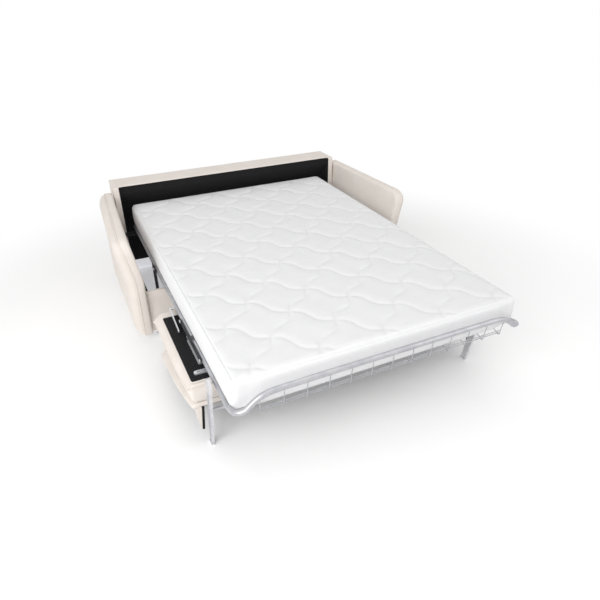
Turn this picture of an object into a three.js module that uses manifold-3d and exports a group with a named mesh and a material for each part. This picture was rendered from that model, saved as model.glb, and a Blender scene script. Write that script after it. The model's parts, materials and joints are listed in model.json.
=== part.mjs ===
// A two seat sleeper sofa with its bed pulled out, in millimetres, +Y to the back and +Z up.
// Left and right are as seen from the foot of the bed, so +X is right.
// The bed folds on steel links, the seat and the backrest hang under it, and the sofa body stays behind.
import * as THREE from 'three';
import { mergeVertices } from 'three/addons/utils/BufferGeometryUtils.js';
import Module from 'manifold-3d';

const wasm = await Module();
wasm.setup();

// Fits
const seatGap = 0.3;          // between pieces that touch
const pinPlay = 0.3;          // round a pin, all the way
const overrun = 5;            // how far a cutter runs past what it cuts

// Mattress, with its foot end at y = 0
const mattressWidth = 1400;
const mattressLength = 2050;
const mattressThickness = 140;
const mattressCrown = 6;
const mattressCornerRadius = 60;
const mattressEdgeRadius = 26;
const borderSeamInset = 85;
const borderSeamDepth = 5;

// Bed grid: a welded frame of round tube with crossed wires
const tubeRadius = 12.5;
const bedLevel = 398;         // height of the tube centres
const wireRadius = 2;
const weldDepth = 1;
const wireHookDrop = 20;
const lipWireSpacing = 10.4;
const longWireCount = 13;
const crossWirePitch = 150;
const endTubeSetback = 30;    // from a fold line to the end tube's centre

// Fold between the middle and the foot of the bed
const foldLineY = 560;
const foldLinkReach = 175;    // from the fold line to each pin of a link
const foldStripReach = 110;   // soft strip of the mattress on each side of the fold line
const linkHeight = 24;
const linkThickness = 6;
const pinRadius = 5;
const pinHeadRadius = 9;
const pinHeadThickness = 3.2;

// Lift pivot between the sofa body and the middle of the bed
const liftPivotY = 1345;
const liftStripFront = 170;
const liftStripRear = 60;
const liftTubeSetback = 45;
const railEyeOverhang = 8;

// Foot hoop
const hoopFrontY = -20;
const hoopRise = 77;          // the straight part above the side tubes
const hoopEarRise = 15;
const hoopEarInset = 20;
const hoopBendWidth = 95;
const hoopBendStart = 70;
const hoopRearBend = 28;

// Front legs
const legPivotY = 218;
const legFootY = 288;
const legWidth = 30;
const legThickness = 12;
const legWall = 3;
const legLaneGap = 2;         // clear space between the pin heads and a leg
const legEyeRadius = 26;
const legTieRadius = 8;
const legTieDrop = 157.4;
const legTieSetForward = 10.6;  // the tie tube is clear of the grid when the legs are folded
const glideHeight = 8;
const glideLength = 38;
const glideOverhang = 3;

// Seat, hanging upside down under the bed
const seatTopZ = 346;         // the rim of the cushion round its board
const seatBottomZ = 240;
const seatFrontY = 300;
const seatRearY = 955;
const seatSideGap = 14;
const seatSideBulge = 28;
const seatCornerRadius = 34;
const seatEdgeRadius = 26;
const seatCrown = 4;
const seatBoardThickness = 9;
const seatBoardSideInset = 6;
const seatBoardFrontY = 315;
const seatBoardRearY = 871;
const seatBoardCornerRadius = 10;
const tieBarY = 361;
const tieBarEndInset = 29;
const tieBarWidth = 22;
const tieBarThickness = 8;
const tieBarSlotLength = 16;
const tieBarSlotWidth = 7;
const tieBarSlotInset = 22;
const hangerFrontY = 418;
const hangerLength = 200;
const hangerThickness = 5;
const hangerFlange = 40;
const braceX = 735;
const braceThickness = 5;
const braceHalfHeight = 9;
const bracePinRadius = 5;
const braceFootY = 706;
const braceTopY = 868;

// Backrest, folded under the seat
const backrestFrontY = 312;
const backrestRearY = 930;
const backrestFrontTopZ = 232;
const backrestRearTopZ = 140;
const backrestFrontBottomZ = 201;
const backrestRearBottomZ = 76;
const backrestStep = 4;        // how much narrower than the seat it is on each side
const backrestBulge = 32;
const backrestCornerRadius = 24;
const backrestHingeY = 322;
const backrestBoardThickness = 9;
const backrestBoardInset = 3;
const hingeRodEndInset = 50;
const tabOuterInset = 2;
const tabLegClearance = 5.2;
const tabBottomWidth = 14.5;
const tabBottomZ = 78;
const tabThickness = 13;

// Sofa body
const armBedGap = 100;        // between the bed's side tubes and the inside of an arm
const bodyBottomZ = 60;
const headToBack = 154;       // from the mattress's head end to the sofa's rear face
const backTopZ = 693;
const backTopDepth = 178;
const backTopRoll = 54;
const backWallDepth = 106;
const backShoulderDrop = 153;  // from the top down to where the back's inner face stands upright
const wingDepth = 208;
const wingThickness = 34;
const wingCornerRadius = 12;
const linerThickness = 3;
const linerBottomZ = 128;
const sideBoardThickness = 13;
const sideBoardTopZ = 318;
const frontRailFrontY = 1230;
const frontRailThickness = 26;
const frontRailTopZ = 321;
const coverThickness = 3;
const footRadius = 24;
const footInsetX = 60;
const footFrontY = 1300;
const footRearInset = 84;
const bracketHalfLength = 45;
const bracketTopRise = 20;
const bracketFootZ = 200;
const bracketFootDrop = 80;
const bracketThickness = 6;
const headTubeInset = 10;
const headRestLength = 60;
const headRestDrop = 60;

// Arms
const armBottomZ = 52;
const armTopZ = 654;
const armRearInset = 142;     // from the sofa's rear face to the arm's rear edge
const armFrontTopY = 1194;
const armFrontBottomY = 1204;
const armTopCornerRadius = 52;
const armRearCornerRadius = 18;
const armBottomCornerRadius = 14;
const armPanelThickness = 45;
const armPadThickness = 52;
const armFlareFront = 50;     // how far the top leans out near the front
const armFlareRear = 8;
const armFlareFrontY = 1200;
const armFlareRearY = 2050;
const armFlareStartZ = 400;
const armFlarePower = 1.2;

// Numbers of steps, and shares of sizes
const tubeSides = 10;
const wireSides = 4;
const pinSides = 16;
const hoopSteps = 56;
const cornerSteps = 5;
const edgeSteps = 3;
const armMiddleInsetShare = 0.25;
// Rings of an arm's panel and pad: how far each is drawn in from the outline and moved outwards,
// as shares of the thickness
const armPanelRings = [[0.3, 0], [0.09, 0.09], [0, 0.3], [0, 0.75], [0.06, 0.92], [0.2, 1]];
const armPadRings = [[1, 0.97], [0.5, 0.8], [0.22, 0.54], [0.07, 0.28], [0, 0.12]];
const crownRingShare = 0.45;

// Finishes
function finish(color, roughness, metalness = 0) {
  return new THREE.MeshStandardMaterial({ color, roughness, metalness });
}
const creamFabric = () => finish(0xe6ddd4, 0.95);
const blackLining = () => finish(0x161618, 0.9);
const whiteQuilt = () => finish(0xf1f1f3, 0.9);
const silverPaint = () => finish(0xb9babd, 0.4, 0.6);
const zincSteel = () => finish(0xa8a9ad, 0.35, 0.9);
const blackSteel = () => finish(0x242528, 0.5, 0.5);
const palePlywood = () => finish(0xc8ad84, 0.7);
const greyCover = () => finish(0xbfc1c4, 0.9);
const blackPlastic = () => finish(0x1d1d1f, 0.45);

// Sizes worked out from the ones above
const backRearY = mattressLength + headToBack;
const backTopFrontY = backRearY - backTopDepth;
const backWallFrontY = backRearY - backWallDepth;
const wingFrontY = backRearY - wingDepth;
const armRearY = backRearY - armRearInset;
const headTubeRearY = mattressLength - headTubeInset;
const footRearY = backRearY - footRearInset;
const railSpread = mattressWidth / 2;
const innerHalfWidth = railSpread + armBedGap;
const seatHalfWidth = innerHalfWidth - seatSideGap;
const backrestHalfWidth = seatHalfWidth - backrestStep;
const tieBarHalfLength = seatHalfWidth - tieBarEndInset;
const hoopEarHalf = railSpread - hoopEarInset;
const hoopStraightHalf = hoopEarHalf - hoopBendWidth;
const backWallStartZ = backTopZ - backShoulderDrop;
const crossWireLevel = bedLevel + tubeRadius + wireRadius - weldDepth;
const longWireLevel = crossWireLevel - 2 * wireRadius + weldDepth;
const mattressBottomZ = crossWireLevel + wireRadius + seatGap;
const mattressTopZ = mattressBottomZ + mattressThickness;
const railFace = railSpread + tubeRadius;
const linkInner = railFace + seatGap;
const linkOuter = linkInner + linkThickness;
const pinHeadOuter = linkOuter + seatGap + pinHeadThickness;
const legInner = pinHeadOuter + legLaneGap;
const legOuter = legInner + legThickness;
const bodyHalfWidth = innerHalfWidth - seatGap;
const sideBoardInner = bodyHalfWidth - sideBoardThickness;
const sideLinerInner = sideBoardInner - seatGap - linerThickness;
const seatBoardBottomZ = seatTopZ + seatGap;
const seatBoardTopZ = seatBoardBottomZ + seatBoardThickness;
const armSpan = armTopZ - armBottomZ;

const sofa = new THREE.Group();

function add(name, geometry, material) {
  geometry.computeVertexNormals();
  const mesh = new THREE.Mesh(geometry, material);
  mesh.name = name;
  sofa.add(mesh);
  return mesh;
}

// Solids for cuts and joins
function solid(geometry) {
  const bare = geometry.clone();
  bare.deleteAttribute('normal');
  bare.deleteAttribute('uv');
  const merged = mergeVertices(bare);
  const vertProperties = new Float32Array(merged.attributes.position.array);
  const triVerts = new Uint32Array(merged.index.array);
  return new wasm.Manifold(new wasm.Mesh({ numProp: 3, vertProperties, triVerts }));
}

function surface(body) {
  const mesh = body.getMesh();
  const geometry = new THREE.BufferGeometry();
  geometry.setAttribute('position', new THREE.BufferAttribute(mesh.vertProperties, 3));
  geometry.setIndex(new THREE.BufferAttribute(mesh.triVerts, 1));
  return geometry;
}

const joined = (geometries) => surface(geometries.map(solid).reduce((all, next) => all.add(next)));

function cut(geometry, ...cutters) {
  return surface(cutters.map(solid).reduce((rest, cutter) => rest.subtract(cutter), solid(geometry)));
}

// A box from its lowest and highest corner
function block(x0, x1, y0, y1, z0, z1) {
  const box = new THREE.BoxGeometry(x1 - x0, y1 - y0, z1 - z0);
  return box.translate((x0 + x1) / 2, (y0 + y1) / 2, (z0 + z1) / 2);
}

// A round bar between two points
function rod(from, to, radius, sides) {
  const start = new THREE.Vector3(...from);
  const along = new THREE.Vector3(...to).sub(start);
  const bar = new THREE.CylinderGeometry(radius, radius, along.length(), sides);
  const axis = along.clone().normalize();
  const turn = new THREE.Quaternion().setFromUnitVectors(new THREE.Vector3(0, 1, 0), axis);
  return bar.applyQuaternion(turn).translate(...start.addScaledVector(along, 1 / 2).toArray());
}

// A flat plate whose outline is drawn in y and z, standing from x0 to x1
function plate(outline, x0, x1, holes = []) {
  const shape = new THREE.Shape(outline.map(([y, z]) => new THREE.Vector2(y, z)));
  for (const [y, z, radius] of holes) {
    shape.holes.push(new THREE.Path().absarc(y, z, radius, 0, 2 * Math.PI, true));
  }
  const options = { depth: x1 - x0, bevelEnabled: false, curveSegments: pinSides / 2 };
  const body = new THREE.ExtrudeGeometry(shape, options);
  const axes = new THREE.Matrix4().set(0, 0, 1, x0, 1, 0, 0, 0, 0, 1, 0, 0, 0, 0, 0, 1);
  return body.applyMatrix4(axes);
}

// The round ended outline of a bar between two eyes
function eyeBar([y0, z0], [y1, z1], radius) {
  const lean = Math.atan2(z1 - z0, y1 - y0);
  const outline = [];
  for (const [y, z, start] of [[y1, z1, -Math.PI / 2], [y0, z0, Math.PI / 2]]) {
    for (let step = 0; step <= cornerSteps; step += 1) {
      const angle = lean + start + (Math.PI * step) / cornerSteps;
      outline.push([y + radius * Math.cos(angle), z + radius * Math.sin(angle)]);
    }
  }
  return outline;
}

// A polygon drawn inwards by an inset, its corners rounded and its edges divided
function roundedOutline(corners, radii, inset, straightSteps = 1) {
  const count = corners.length;
  const edges = corners.map(([x, y], i) => {
    const [nextX, nextY] = corners[(i + 1) % count];
    const length = Math.hypot(nextX - x, nextY - y);
    const along = [(nextX - x) / length, (nextY - y) / length];
    return { from: [x - along[1] * inset, y + along[0] * inset], along };
  });
  const arcs = corners.map((corner, i) => {
    const before = edges[(i + count - 1) % count];
    const after = edges[i];
    const cross = before.along[0] * after.along[1] - before.along[1] * after.along[0];
    const gap = [after.from[0] - before.from[0], after.from[1] - before.from[1]];
    const reach = (gap[0] * after.along[1] - gap[1] * after.along[0]) / cross;
    const tip = [before.from[0] + before.along[0] * reach, before.from[1] + before.along[1] * reach];
    const turn = Math.atan2(cross, before.along[0] * after.along[0] + before.along[1] * after.along[1]);
    const radius = Math.max(radii[i] - inset, radii[i] / cornerSteps);
    const start = [
      tip[0] - before.along[0] * radius * Math.tan(turn / 2),
      tip[1] - before.along[1] * radius * Math.tan(turn / 2),
    ];
    const centre = [start[0] - before.along[1] * radius, start[1] + before.along[0] * radius];
    const heading = Math.atan2(start[1] - centre[1], start[0] - centre[0]);
    const points = [];
    for (let step = 0; step <= cornerSteps; step += 1) {
      const angle = heading + (turn * step) / cornerSteps;
      points.push([centre[0] + radius * Math.cos(angle), centre[1] + radius * Math.sin(angle)]);
    }
    return points;
  });
  return arcs.flatMap((arc, i) => {
    const end = arc[arc.length - 1];
    const next = arcs[(i + 1) % count][0];
    const between = [];
    for (let step = 1; step < straightSteps; step += 1) {
      const share = step / straightSteps;
      between.push([end[0] + (next[0] - end[0]) * share, end[1] + (next[1] - end[1]) * share]);
    }
    return [...arc, ...between];
  });
}

const rectangle = (x0, x1, y0, y1) => [[x0, y0], [x1, y0], [x1, y1], [x0, y1]];

// A closed body through rings of points, each end closed round its middle
function loft(rings, place) {
  const count = rings[0].length;
  const middle = (ring) => [0, 1, 2].map((axis) => ring.reduce((sum, point) => sum + point[axis], 0) / count);
  const last = rings.length - 1;
  const points = [...rings.flat(), middle(rings[0]), middle(rings[last])].map(place);
  const index = [];
  for (let i = 0; i < count; i += 1) {
    const j = (i + 1) % count;
    for (let ring = 0; ring < last; ring += 1) {
      const low = ring * count;
      const high = low + count;
      index.push(low + i, low + j, high + j, low + i, high + j, high + i);
    }
    index.push(points.length - 2, j, i, points.length - 1, last * count + i, last * count + j);
  }
  const geometry = new THREE.BufferGeometry();
  geometry.setAttribute('position', new THREE.Float32BufferAttribute(points.flat(), 3));
  geometry.setIndex(index);
  if (volume(points, index) < 0) {
    index.reverse();
    geometry.setIndex(index);
  }
  return geometry;
}

function volume(points, index) {
  let sum = 0;
  const [a, b, c] = [new THREE.Vector3(), new THREE.Vector3(), new THREE.Vector3()];
  for (let i = 0; i < index.length; i += 3) {
    a.set(...points[index[i]]);
    b.set(...points[index[i + 1]]);
    c.set(...points[index[i + 2]]);
    sum += a.dot(b.cross(c));
  }
  return sum;
}

const mirrored = (side) => (point) => [side * point[0], point[1], point[2]];
const upright = (point) => point;

// The rings of a quarter round edge, from flat face to side
function edgeRings(corners, radii, radius, faceHeight, inwards, steps, divisions) {
  const rings = [];
  for (let step = 0; step <= steps; step += 1) {
    const angle = (Math.PI / 2) * (step / steps);
    const inset = radius * (1 - Math.sin(angle));
    const height = faceHeight + inwards * radius * (1 - Math.cos(angle));
    rings.push(roundedOutline(corners, radii, inset, divisions).map(([x, y]) => [x, y, height]));
  }
  return rings;
}

// Mattress, made whole and then parted where the bed folds
const mattressCorners = rectangle(-mattressWidth / 2, mattressWidth / 2, 0, mattressLength);
const mattressRadii = mattressCorners.map(() => mattressCornerRadius);
function mattressRing(inset, height) {
  return roundedOutline(mattressCorners, mattressRadii, inset).map(([x, y]) => [x, y, height]);
}
const bottomEdge = edgeRings(mattressCorners, mattressRadii, mattressEdgeRadius, mattressBottomZ, 1, 2, 1);
const topEdge = edgeRings(mattressCorners, mattressRadii, mattressEdgeRadius, mattressTopZ, -1, 3, 1);
const mattressWhole = solid(loft([
  ...bottomEdge,
  ...topEdge.reverse(),
  mattressRing(borderSeamInset - borderSeamDepth, mattressTopZ + mattressCrown / 2),
  mattressRing(borderSeamInset, mattressTopZ - borderSeamDepth),
  mattressRing(borderSeamInset + borderSeamDepth, mattressTopZ + mattressCrown / 2),
  mattressRing((mattressWidth / 2) * crownRingShare, mattressTopZ + mattressCrown),
], upright));

function mattressPiece(name, startY, endY) {
  const reach = mattressWidth / 2 + overrun;
  const first = startY === 0 ? -overrun : startY + seatGap / 2;
  const last = endY === mattressLength ? mattressLength + overrun : endY - seatGap / 2;
  const lowZ = mattressBottomZ - overrun;
  const highZ = mattressTopZ + mattressCrown + overrun;
  const keep = block(-reach, reach, first, last, lowZ, highZ);
  add(name, surface(mattressWhole.intersect(solid(keep))), whiteQuilt());
}
const mattressCuts = [
  ['mattress_foot', 0, foldLineY - foldStripReach],
  ['mattress_foot_fold', foldLineY - foldStripReach, foldLineY + foldStripReach],
  ['mattress_middle', foldLineY + foldStripReach, liftPivotY - liftStripFront],
  ['mattress_head_fold', liftPivotY - liftStripFront, liftPivotY + liftStripRear],
  ['mattress_head', liftPivotY + liftStripRear, mattressLength],
];
for (const [name, startY, endY] of mattressCuts) mattressPiece(name, startY, endY);

// Bed grids
const tube = (from, to) => rod(from, to, tubeRadius, tubeSides);
const wire = (from, to) => rod(from, to, wireRadius, wireSides);
const wirePitch = (2 * railSpread) / (longWireCount + 1);
const wirePlaces = [];
for (let i = 1; i <= longWireCount; i += 1) wirePlaces.push(i * wirePitch - railSpread);

function crossWires(startY, endY) {
  const count = Math.round((endY - startY) / crossWirePitch);
  const wires = [];
  for (let i = 1; i < count; i += 1) {
    const y = startY + ((endY - startY) * i) / count;
    wires.push(wire([-railSpread, y, crossWireLevel], [railSpread, y, crossWireLevel]));
  }
  return wires;
}

function longWires(startY, endY) {
  return wirePlaces.map((x) => wire([x, startY, longWireLevel], [x, endY, longWireLevel]));
}

const endTube = (y) => tube([-railSpread, y, bedLevel], [railSpread, y, bedLevel]);

function sideTubes(startY, endY) {
  return [-railSpread, railSpread].map((x) => tube([x, startY, bedLevel], [x, endY, bedLevel]));
}

const middleStartY = foldLineY + endTubeSetback;
const middleEndY = liftPivotY - liftTubeSetback;
add('middle_grid', joined([
  endTube(middleStartY), endTube(middleEndY),
  ...sideTubes(middleStartY - tubeRadius, liftPivotY + railEyeOverhang),
  ...longWires(middleStartY, middleEndY),
  ...crossWires(middleStartY, middleEndY),
]), silverPaint());

const headStartY = liftPivotY + endTubeSetback;
add('head_grid', joined([
  endTube(headStartY), endTube(headTubeRearY),
  ...sideTubes(headStartY - tubeRadius, headTubeRearY + tubeRadius),
  ...longWires(headStartY, headTubeRearY),
  ...crossWires(headStartY, headTubeRearY),
]), silverPaint());

// The foot grid's side tubes run on into the hoop that holds the mattress back
const footEndY = foldLineY - endTubeSetback;
function hoopSide(side) {
  const earWidth = hoopEarHalf - hoopStraightHalf;
  const earPoint = (share, rise) => [side * (hoopEarHalf - earWidth * share), hoopFrontY, bedLevel + rise];
  const climb = hoopRise - hoopEarRise;
  return [
    [side * railSpread, hoopBendStart + 2 * tubeRadius, bedLevel],
    [side * railSpread, hoopBendStart, bedLevel],
    [side * (railSpread - wireRadius), hoopRearBend, bedLevel + hoopEarRise / 4],
    [side * (railSpread - hoopEarInset / 4), 0, bedLevel + hoopEarRise / 2],
    [side * hoopEarHalf, hoopFrontY * 0.8, bedLevel + hoopEarRise * 0.8],
    earPoint(0.2, hoopEarRise * 1.1), earPoint(0.5, hoopEarRise + climb * 0.3),
    earPoint(0.8, hoopEarRise + climb * 0.7), earPoint(1.1, hoopEarRise + climb * 0.92),
    earPoint(1.5, hoopRise),
  ];
}
const hoopPoints = [
  ...hoopSide(-1),
  [0, hoopFrontY, bedLevel + hoopRise],
  ...hoopSide(1).reverse(),
].map((point) => new THREE.Vector3(...point));
const hoopPath = new THREE.CatmullRomCurve3(hoopPoints, false, 'centripetal');
const hoopSection = new THREE.Shape();
for (let i = 0; i < tubeSides; i += 1) {
  const angle = (2 * Math.PI * i) / tubeSides;
  const place = [tubeRadius * Math.cos(angle), tubeRadius * Math.sin(angle)];
  if (i === 0) hoopSection.moveTo(...place);
  else hoopSection.lineTo(...place);
}
const hoopOptions = { steps: hoopSteps, extrudePath: hoopPath, bevelEnabled: false };
const hoopTube = new THREE.ExtrudeGeometry(hoopSection, hoopOptions);
const upturnY = hoopFrontY;
const frontWirePlaces = wirePlaces.filter((x) => Math.abs(x) <= hoopStraightHalf + wirePitch / 4);
const frontWires = frontWirePlaces.flatMap((x) => [
  wire([x, footEndY, longWireLevel], [x, upturnY - wireRadius, longWireLevel]),
  wire([x, upturnY, longWireLevel - wireHookDrop], [x, upturnY, bedLevel + hoopRise]),
]);
const lipWireReach = hoopEarHalf - tubeRadius / 2;
const lipWireY = upturnY + 2 * wireRadius - weldDepth;
const lipWires = [longWireLevel - lipWireSpacing / 2, longWireLevel + lipWireSpacing / 2].map((z) => (
  wire([-lipWireReach, lipWireY, z], [lipWireReach, lipWireY, z])
));
add('foot_grid', joined([
  hoopTube, endTube(footEndY),
  ...sideTubes(hoopBendStart, footEndY + tubeRadius),
  ...frontWires, ...lipWires,
  ...crossWires(hoopBendStart, footEndY),
]), silverPaint());

// Pins
const sides = [['left', -1], ['right', 1]];
const span = (side, near, far) => (side < 0 ? [-far, -near] : [near, far]);
function pinPair(name, y, headInner) {
  for (const [word, side] of sides) {
    const place = (outwards) => [side * outwards, y, bedLevel];
    const outer = place(headInner + pinHeadThickness);
    const shank = rod(place(railFace + seatGap), outer, pinRadius, pinSides);
    const head = rod(place(headInner), outer, pinHeadRadius, pinSides);
    add(`${name}_${word}`, joined([shank, head]), zincSteel());
  }
}

// Fold links
const foldPinFrontY = foldLineY - foldLinkReach;
const foldPinRearY = foldLineY + foldLinkReach;
const linkOutline = eyeBar([foldPinFrontY, bedLevel], [foldPinRearY, bedLevel], linkHeight / 2);
const linkHoles = [foldPinFrontY, foldPinRearY].map((y) => [y, bedLevel, pinRadius + pinPlay]);
for (const [word, side] of sides) {
  add(`fold_link_${word}`, plate(linkOutline, ...span(side, linkInner, linkOuter), linkHoles), blackSteel());
}
pinPair('fold_pin_front', foldPinFrontY, linkOuter + seatGap);
pinPair('fold_pin_rear', foldPinRearY, linkOuter + seatGap);

// Lift pivot: a bracket on each side of the sofa body, with its pin
const bracketOuter = sideLinerInner - seatGap;
const bracketHole = [[liftPivotY, bedLevel, pinRadius + pinPlay]];
for (const [word, side] of sides) {
  const outline = rectangle(
    liftPivotY - bracketHalfLength, liftPivotY + bracketHalfLength, bracketFootZ, bedLevel + bracketTopRise,
  );
  const [y0, y1] = [liftPivotY - bracketHalfLength, liftPivotY + bracketHalfLength];
  add(`pivot_bracket_${word}`, joined([
    plate(outline, ...span(side, linkInner, linkOuter), bracketHole),
    block(...span(side, linkInner, bracketOuter), y0, y1, bracketFootZ, bracketFootZ + bracketThickness),
    block(...span(side, bracketOuter - bracketThickness, bracketOuter), y0, y1,
      bracketFootZ - bracketFootDrop, bracketFootZ + bracketThickness),
  ]), blackSteel());
}
pinPair('lift_pin', liftPivotY, linkOuter + seatGap);

// The head of the bed rests on a small angle at each side, near the back
for (const [word, side] of sides) {
  const y1 = wingFrontY - seatGap;
  const y0 = y1 - headRestLength;
  const shelfTop = bedLevel - tubeRadius - seatGap;
  const plateInner = bracketOuter - bracketThickness;
  add(`head_rest_${word}`, joined([
    block(...span(side, railSpread - tubeRadius, bracketOuter), y0, y1,
      shelfTop - bracketThickness, shelfTop),
    block(...span(side, plateInner, bracketOuter), y0, y1, shelfTop - headRestDrop, shelfTop),
  ]), blackSteel());
}

// Front legs
const legLean = Math.atan2(legFootY - legPivotY, bedLevel - glideHeight);
const legLowZ = glideHeight + seatGap;
const legDrop = bedLevel - legLowZ;
const legFootCentreY = legPivotY + legDrop * Math.tan(legLean);
const legHalfCut = legWidth / 2 / Math.cos(legLean);
function legOutline(halfWidth, lowZ) {
  const points = [[legFootCentreY - halfWidth, lowZ], [legFootCentreY + halfWidth, lowZ]];
  for (let step = 0; step <= cornerSteps; step += 1) {
    const angle = legLean + (Math.PI * step) / cornerSteps;
    points.push([legPivotY + legEyeRadius * Math.cos(angle), bedLevel + legEyeRadius * Math.sin(angle)]);
  }
  return points;
}
const legHole = [[legPivotY, bedLevel, pinRadius + pinPlay]];
const grooveTop = bedLevel - 2 * legEyeRadius;
for (const [word, side] of sides) {
  const grooveHalf = legHalfCut - legWall;
  const grooveTopHalf = (grooveHalf + legEyeRadius - legWall) / 2;
  const topY = legPivotY + (bedLevel - grooveTop) * Math.tan(legLean);
  const lowY = legFootCentreY + overrun * Math.tan(legLean);
  const groove = plate([
    [lowY - grooveHalf, legLowZ - overrun], [lowY + grooveHalf, legLowZ - overrun],
    [topY + grooveTopHalf, grooveTop], [topY - grooveTopHalf, grooveTop],
  ], ...span(side, legInner + legWall, legOuter + overrun));
  const legBody = plate(legOutline(legHalfCut, legLowZ), ...span(side, legInner, legOuter), legHole);
  add(`leg_${word}`, cut(legBody, groove), zincSteel());
  const glide = block(...span(side, legInner - glideOverhang + legLaneGap, legOuter + glideOverhang),
    legFootY - glideLength / 2, legFootY + glideLength / 2, 0, glideHeight);
  add(`leg_glide_${word}`, glide, zincSteel());
}
const legTieZ = bedLevel - legTieDrop;
const legTieY = legPivotY + legTieDrop * Math.tan(legLean) - legTieSetForward;
const legTieReach = legInner - seatGap;
const legTieEnds = [-legTieReach, legTieReach].map((x) => [x, legTieY, legTieZ]);
add('leg_tie_tube', rod(...legTieEnds, legTieRadius, tubeSides), silverPaint());
pinPair('leg_pin', legPivotY, legOuter + seatGap);

// Seat: a cushion round a lined board
const seatCorners = rectangle(-seatHalfWidth, seatHalfWidth, seatFrontY, seatRearY);
const seatRadii = seatCorners.map(() => seatCornerRadius);
function seatRing(inset, height, bulge = 0) {
  return roundedOutline(seatCorners, seatRadii, inset, edgeSteps).map(([x, y]) => {
    const reach = Math.max(0, Math.abs(x) - seatHalfWidth + seatCornerRadius) / seatCornerRadius;
    return [x + Math.sign(x) * bulge * reach, y, height];
  });
}
const seatDepth = seatTopZ - seatBottomZ;
add('seat_cushion', loft([
  seatRing(seatHalfWidth * crownRingShare * crownRingShare, seatBottomZ - seatCrown),
  seatRing(seatEdgeRadius / 2, seatBottomZ),
  seatRing(seatEdgeRadius / 4, seatBottomZ + seatEdgeRadius / 2, seatSideBulge / 2),
  seatRing(0, seatBottomZ + seatDepth / 2, seatSideBulge),
  seatRing(seatEdgeRadius / 4, seatTopZ - seatEdgeRadius, seatSideBulge),
  seatRing(seatEdgeRadius / 2, seatTopZ - seatEdgeRadius / 4, seatSideBulge / 2),
  seatRing(seatEdgeRadius, seatTopZ, seatSideBulge / 4),
], upright), creamFabric());

const seatBoardHalf = seatHalfWidth - seatBoardSideInset;
const boardCorners = rectangle(-seatBoardHalf, seatBoardHalf, seatBoardFrontY, seatBoardRearY);
const boardOutline = roundedOutline(boardCorners, boardCorners.map(() => seatBoardCornerRadius), 0);
const ringAt = (outline, height) => outline.map(([x, y]) => [x, y, height]);
const boardRings = [seatBoardBottomZ, seatBoardTopZ].map((height) => ringAt(boardOutline, height));
add('seat_board', loft(boardRings, upright), blackLining());

const barZ = seatBoardTopZ + seatGap;
const barRound = tieBarWidth / 2;
const barCorners = rectangle(-tieBarHalfLength, tieBarHalfLength, tieBarY - barRound, tieBarY + barRound);
const barOutline = roundedOutline(barCorners, barCorners.map(() => barRound - seatGap), 0);
const slots = [-1, 1].map((side) => {
  const middle = side * (tieBarHalfLength - tieBarSlotInset);
  const half = tieBarSlotLength / 2;
  return block(middle - half, middle + half, tieBarY - tieBarSlotWidth / 2, tieBarY + tieBarSlotWidth / 2,
    barZ - overrun, barZ + tieBarThickness + overrun);
});
const tieBarRings = [barZ, barZ + tieBarThickness].map((height) => ringAt(barOutline, height));
add('seat_tie_bar', cut(loft(tieBarRings, upright), ...slots), zincSteel());

// Hangers carry the seat board under the side tubes, and a strap holds it from behind
for (const [word, side] of sides) {
  const top = bedLevel - tubeRadius - seatGap;
  const inner = railSpread - hangerFlange / 2;
  const bar = (width, lowZ, highZ) => (
    block(...span(side, inner, inner + width), hangerFrontY, hangerFrontY + hangerLength, lowZ, highZ)
  );
  add(`seat_hanger_${word}`, joined([
    bar(hangerFlange, top - hangerThickness, top),
    bar(hangerThickness, barZ, top),
    bar(hangerFlange, barZ, barZ + hangerThickness),
  ]), zincSteel());
  const strap = eyeBar([braceFootY, barZ + braceHalfHeight], [braceTopY, bedLevel], braceHalfHeight);
  add(`seat_brace_${word}`, joined([
    plate(strap, ...span(side, braceX, braceX + braceThickness)),
    rod([side * (railFace + seatGap), braceTopY, bedLevel],
      [side * (braceX + braceThickness / 2), braceTopY, bedLevel], bracePinRadius, pinSides),
  ]), zincSteel());
}

// Backrest: a wedge shaped cushion that hinges on the seat's front edge
const backrestBoardLift = backrestBoardThickness + seatGap;
const backrestInsetShares = [2, 0.3, 0, 0.1, 0.2, 0.3, 3];
const backrestHeightShares = [0, 0, 0.12, 0.45, 0.8, 1, 1];
const backrestBulgeShares = [0, 0.9, 1, 0.8, 0.4, 0, 0];
function backrestHeight(y, frontZ, rearZ) {
  return frontZ + ((rearZ - frontZ) * (y - backrestFrontY)) / (backrestRearY - backrestFrontY);
}
const backrestCorners = rectangle(-backrestHalfWidth, backrestHalfWidth, backrestFrontY, backrestRearY);
const backrestRadii = backrestCorners.map(() => backrestCornerRadius);
function backrestRing(inset, share, bulge) {
  return roundedOutline(backrestCorners, backrestRadii, inset, edgeSteps).map(([x, y]) => {
    const low = backrestHeight(y, backrestFrontBottomZ, backrestRearBottomZ) + backrestBoardLift;
    const high = backrestHeight(y, backrestFrontTopZ, backrestRearTopZ);
    const reach = Math.max(0, Math.abs(x) - backrestHalfWidth + backrestCornerRadius) / backrestCornerRadius;
    return [x + Math.sign(x) * bulge * reach, y, low + (high - low) * share];
  });
}
add('backrest_cushion', loft(backrestInsetShares.map((share, i) => (
  backrestRing(share * seatEdgeRadius, backrestHeightShares[i], backrestBulgeShares[i] * backrestBulge)
)), upright), creamFabric());

function backrestBoardRing(lift) {
  const corners = rectangle(
    -backrestHalfWidth + backrestBoardInset, backrestHalfWidth - backrestBoardInset,
    backrestFrontY + backrestBoardInset, backrestRearY - backrestBoardInset,
  );
  return roundedOutline(corners, corners.map(() => seatBoardCornerRadius), 0)
    .map(([x, y]) => [x, y, backrestHeight(y, backrestFrontBottomZ, backrestRearBottomZ) + lift]);
}
const backrestBoardRings = [backrestBoardRing(0), backrestBoardRing(backrestBoardThickness)];
add('backrest_board', loft(backrestBoardRings, upright), blackLining());

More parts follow.
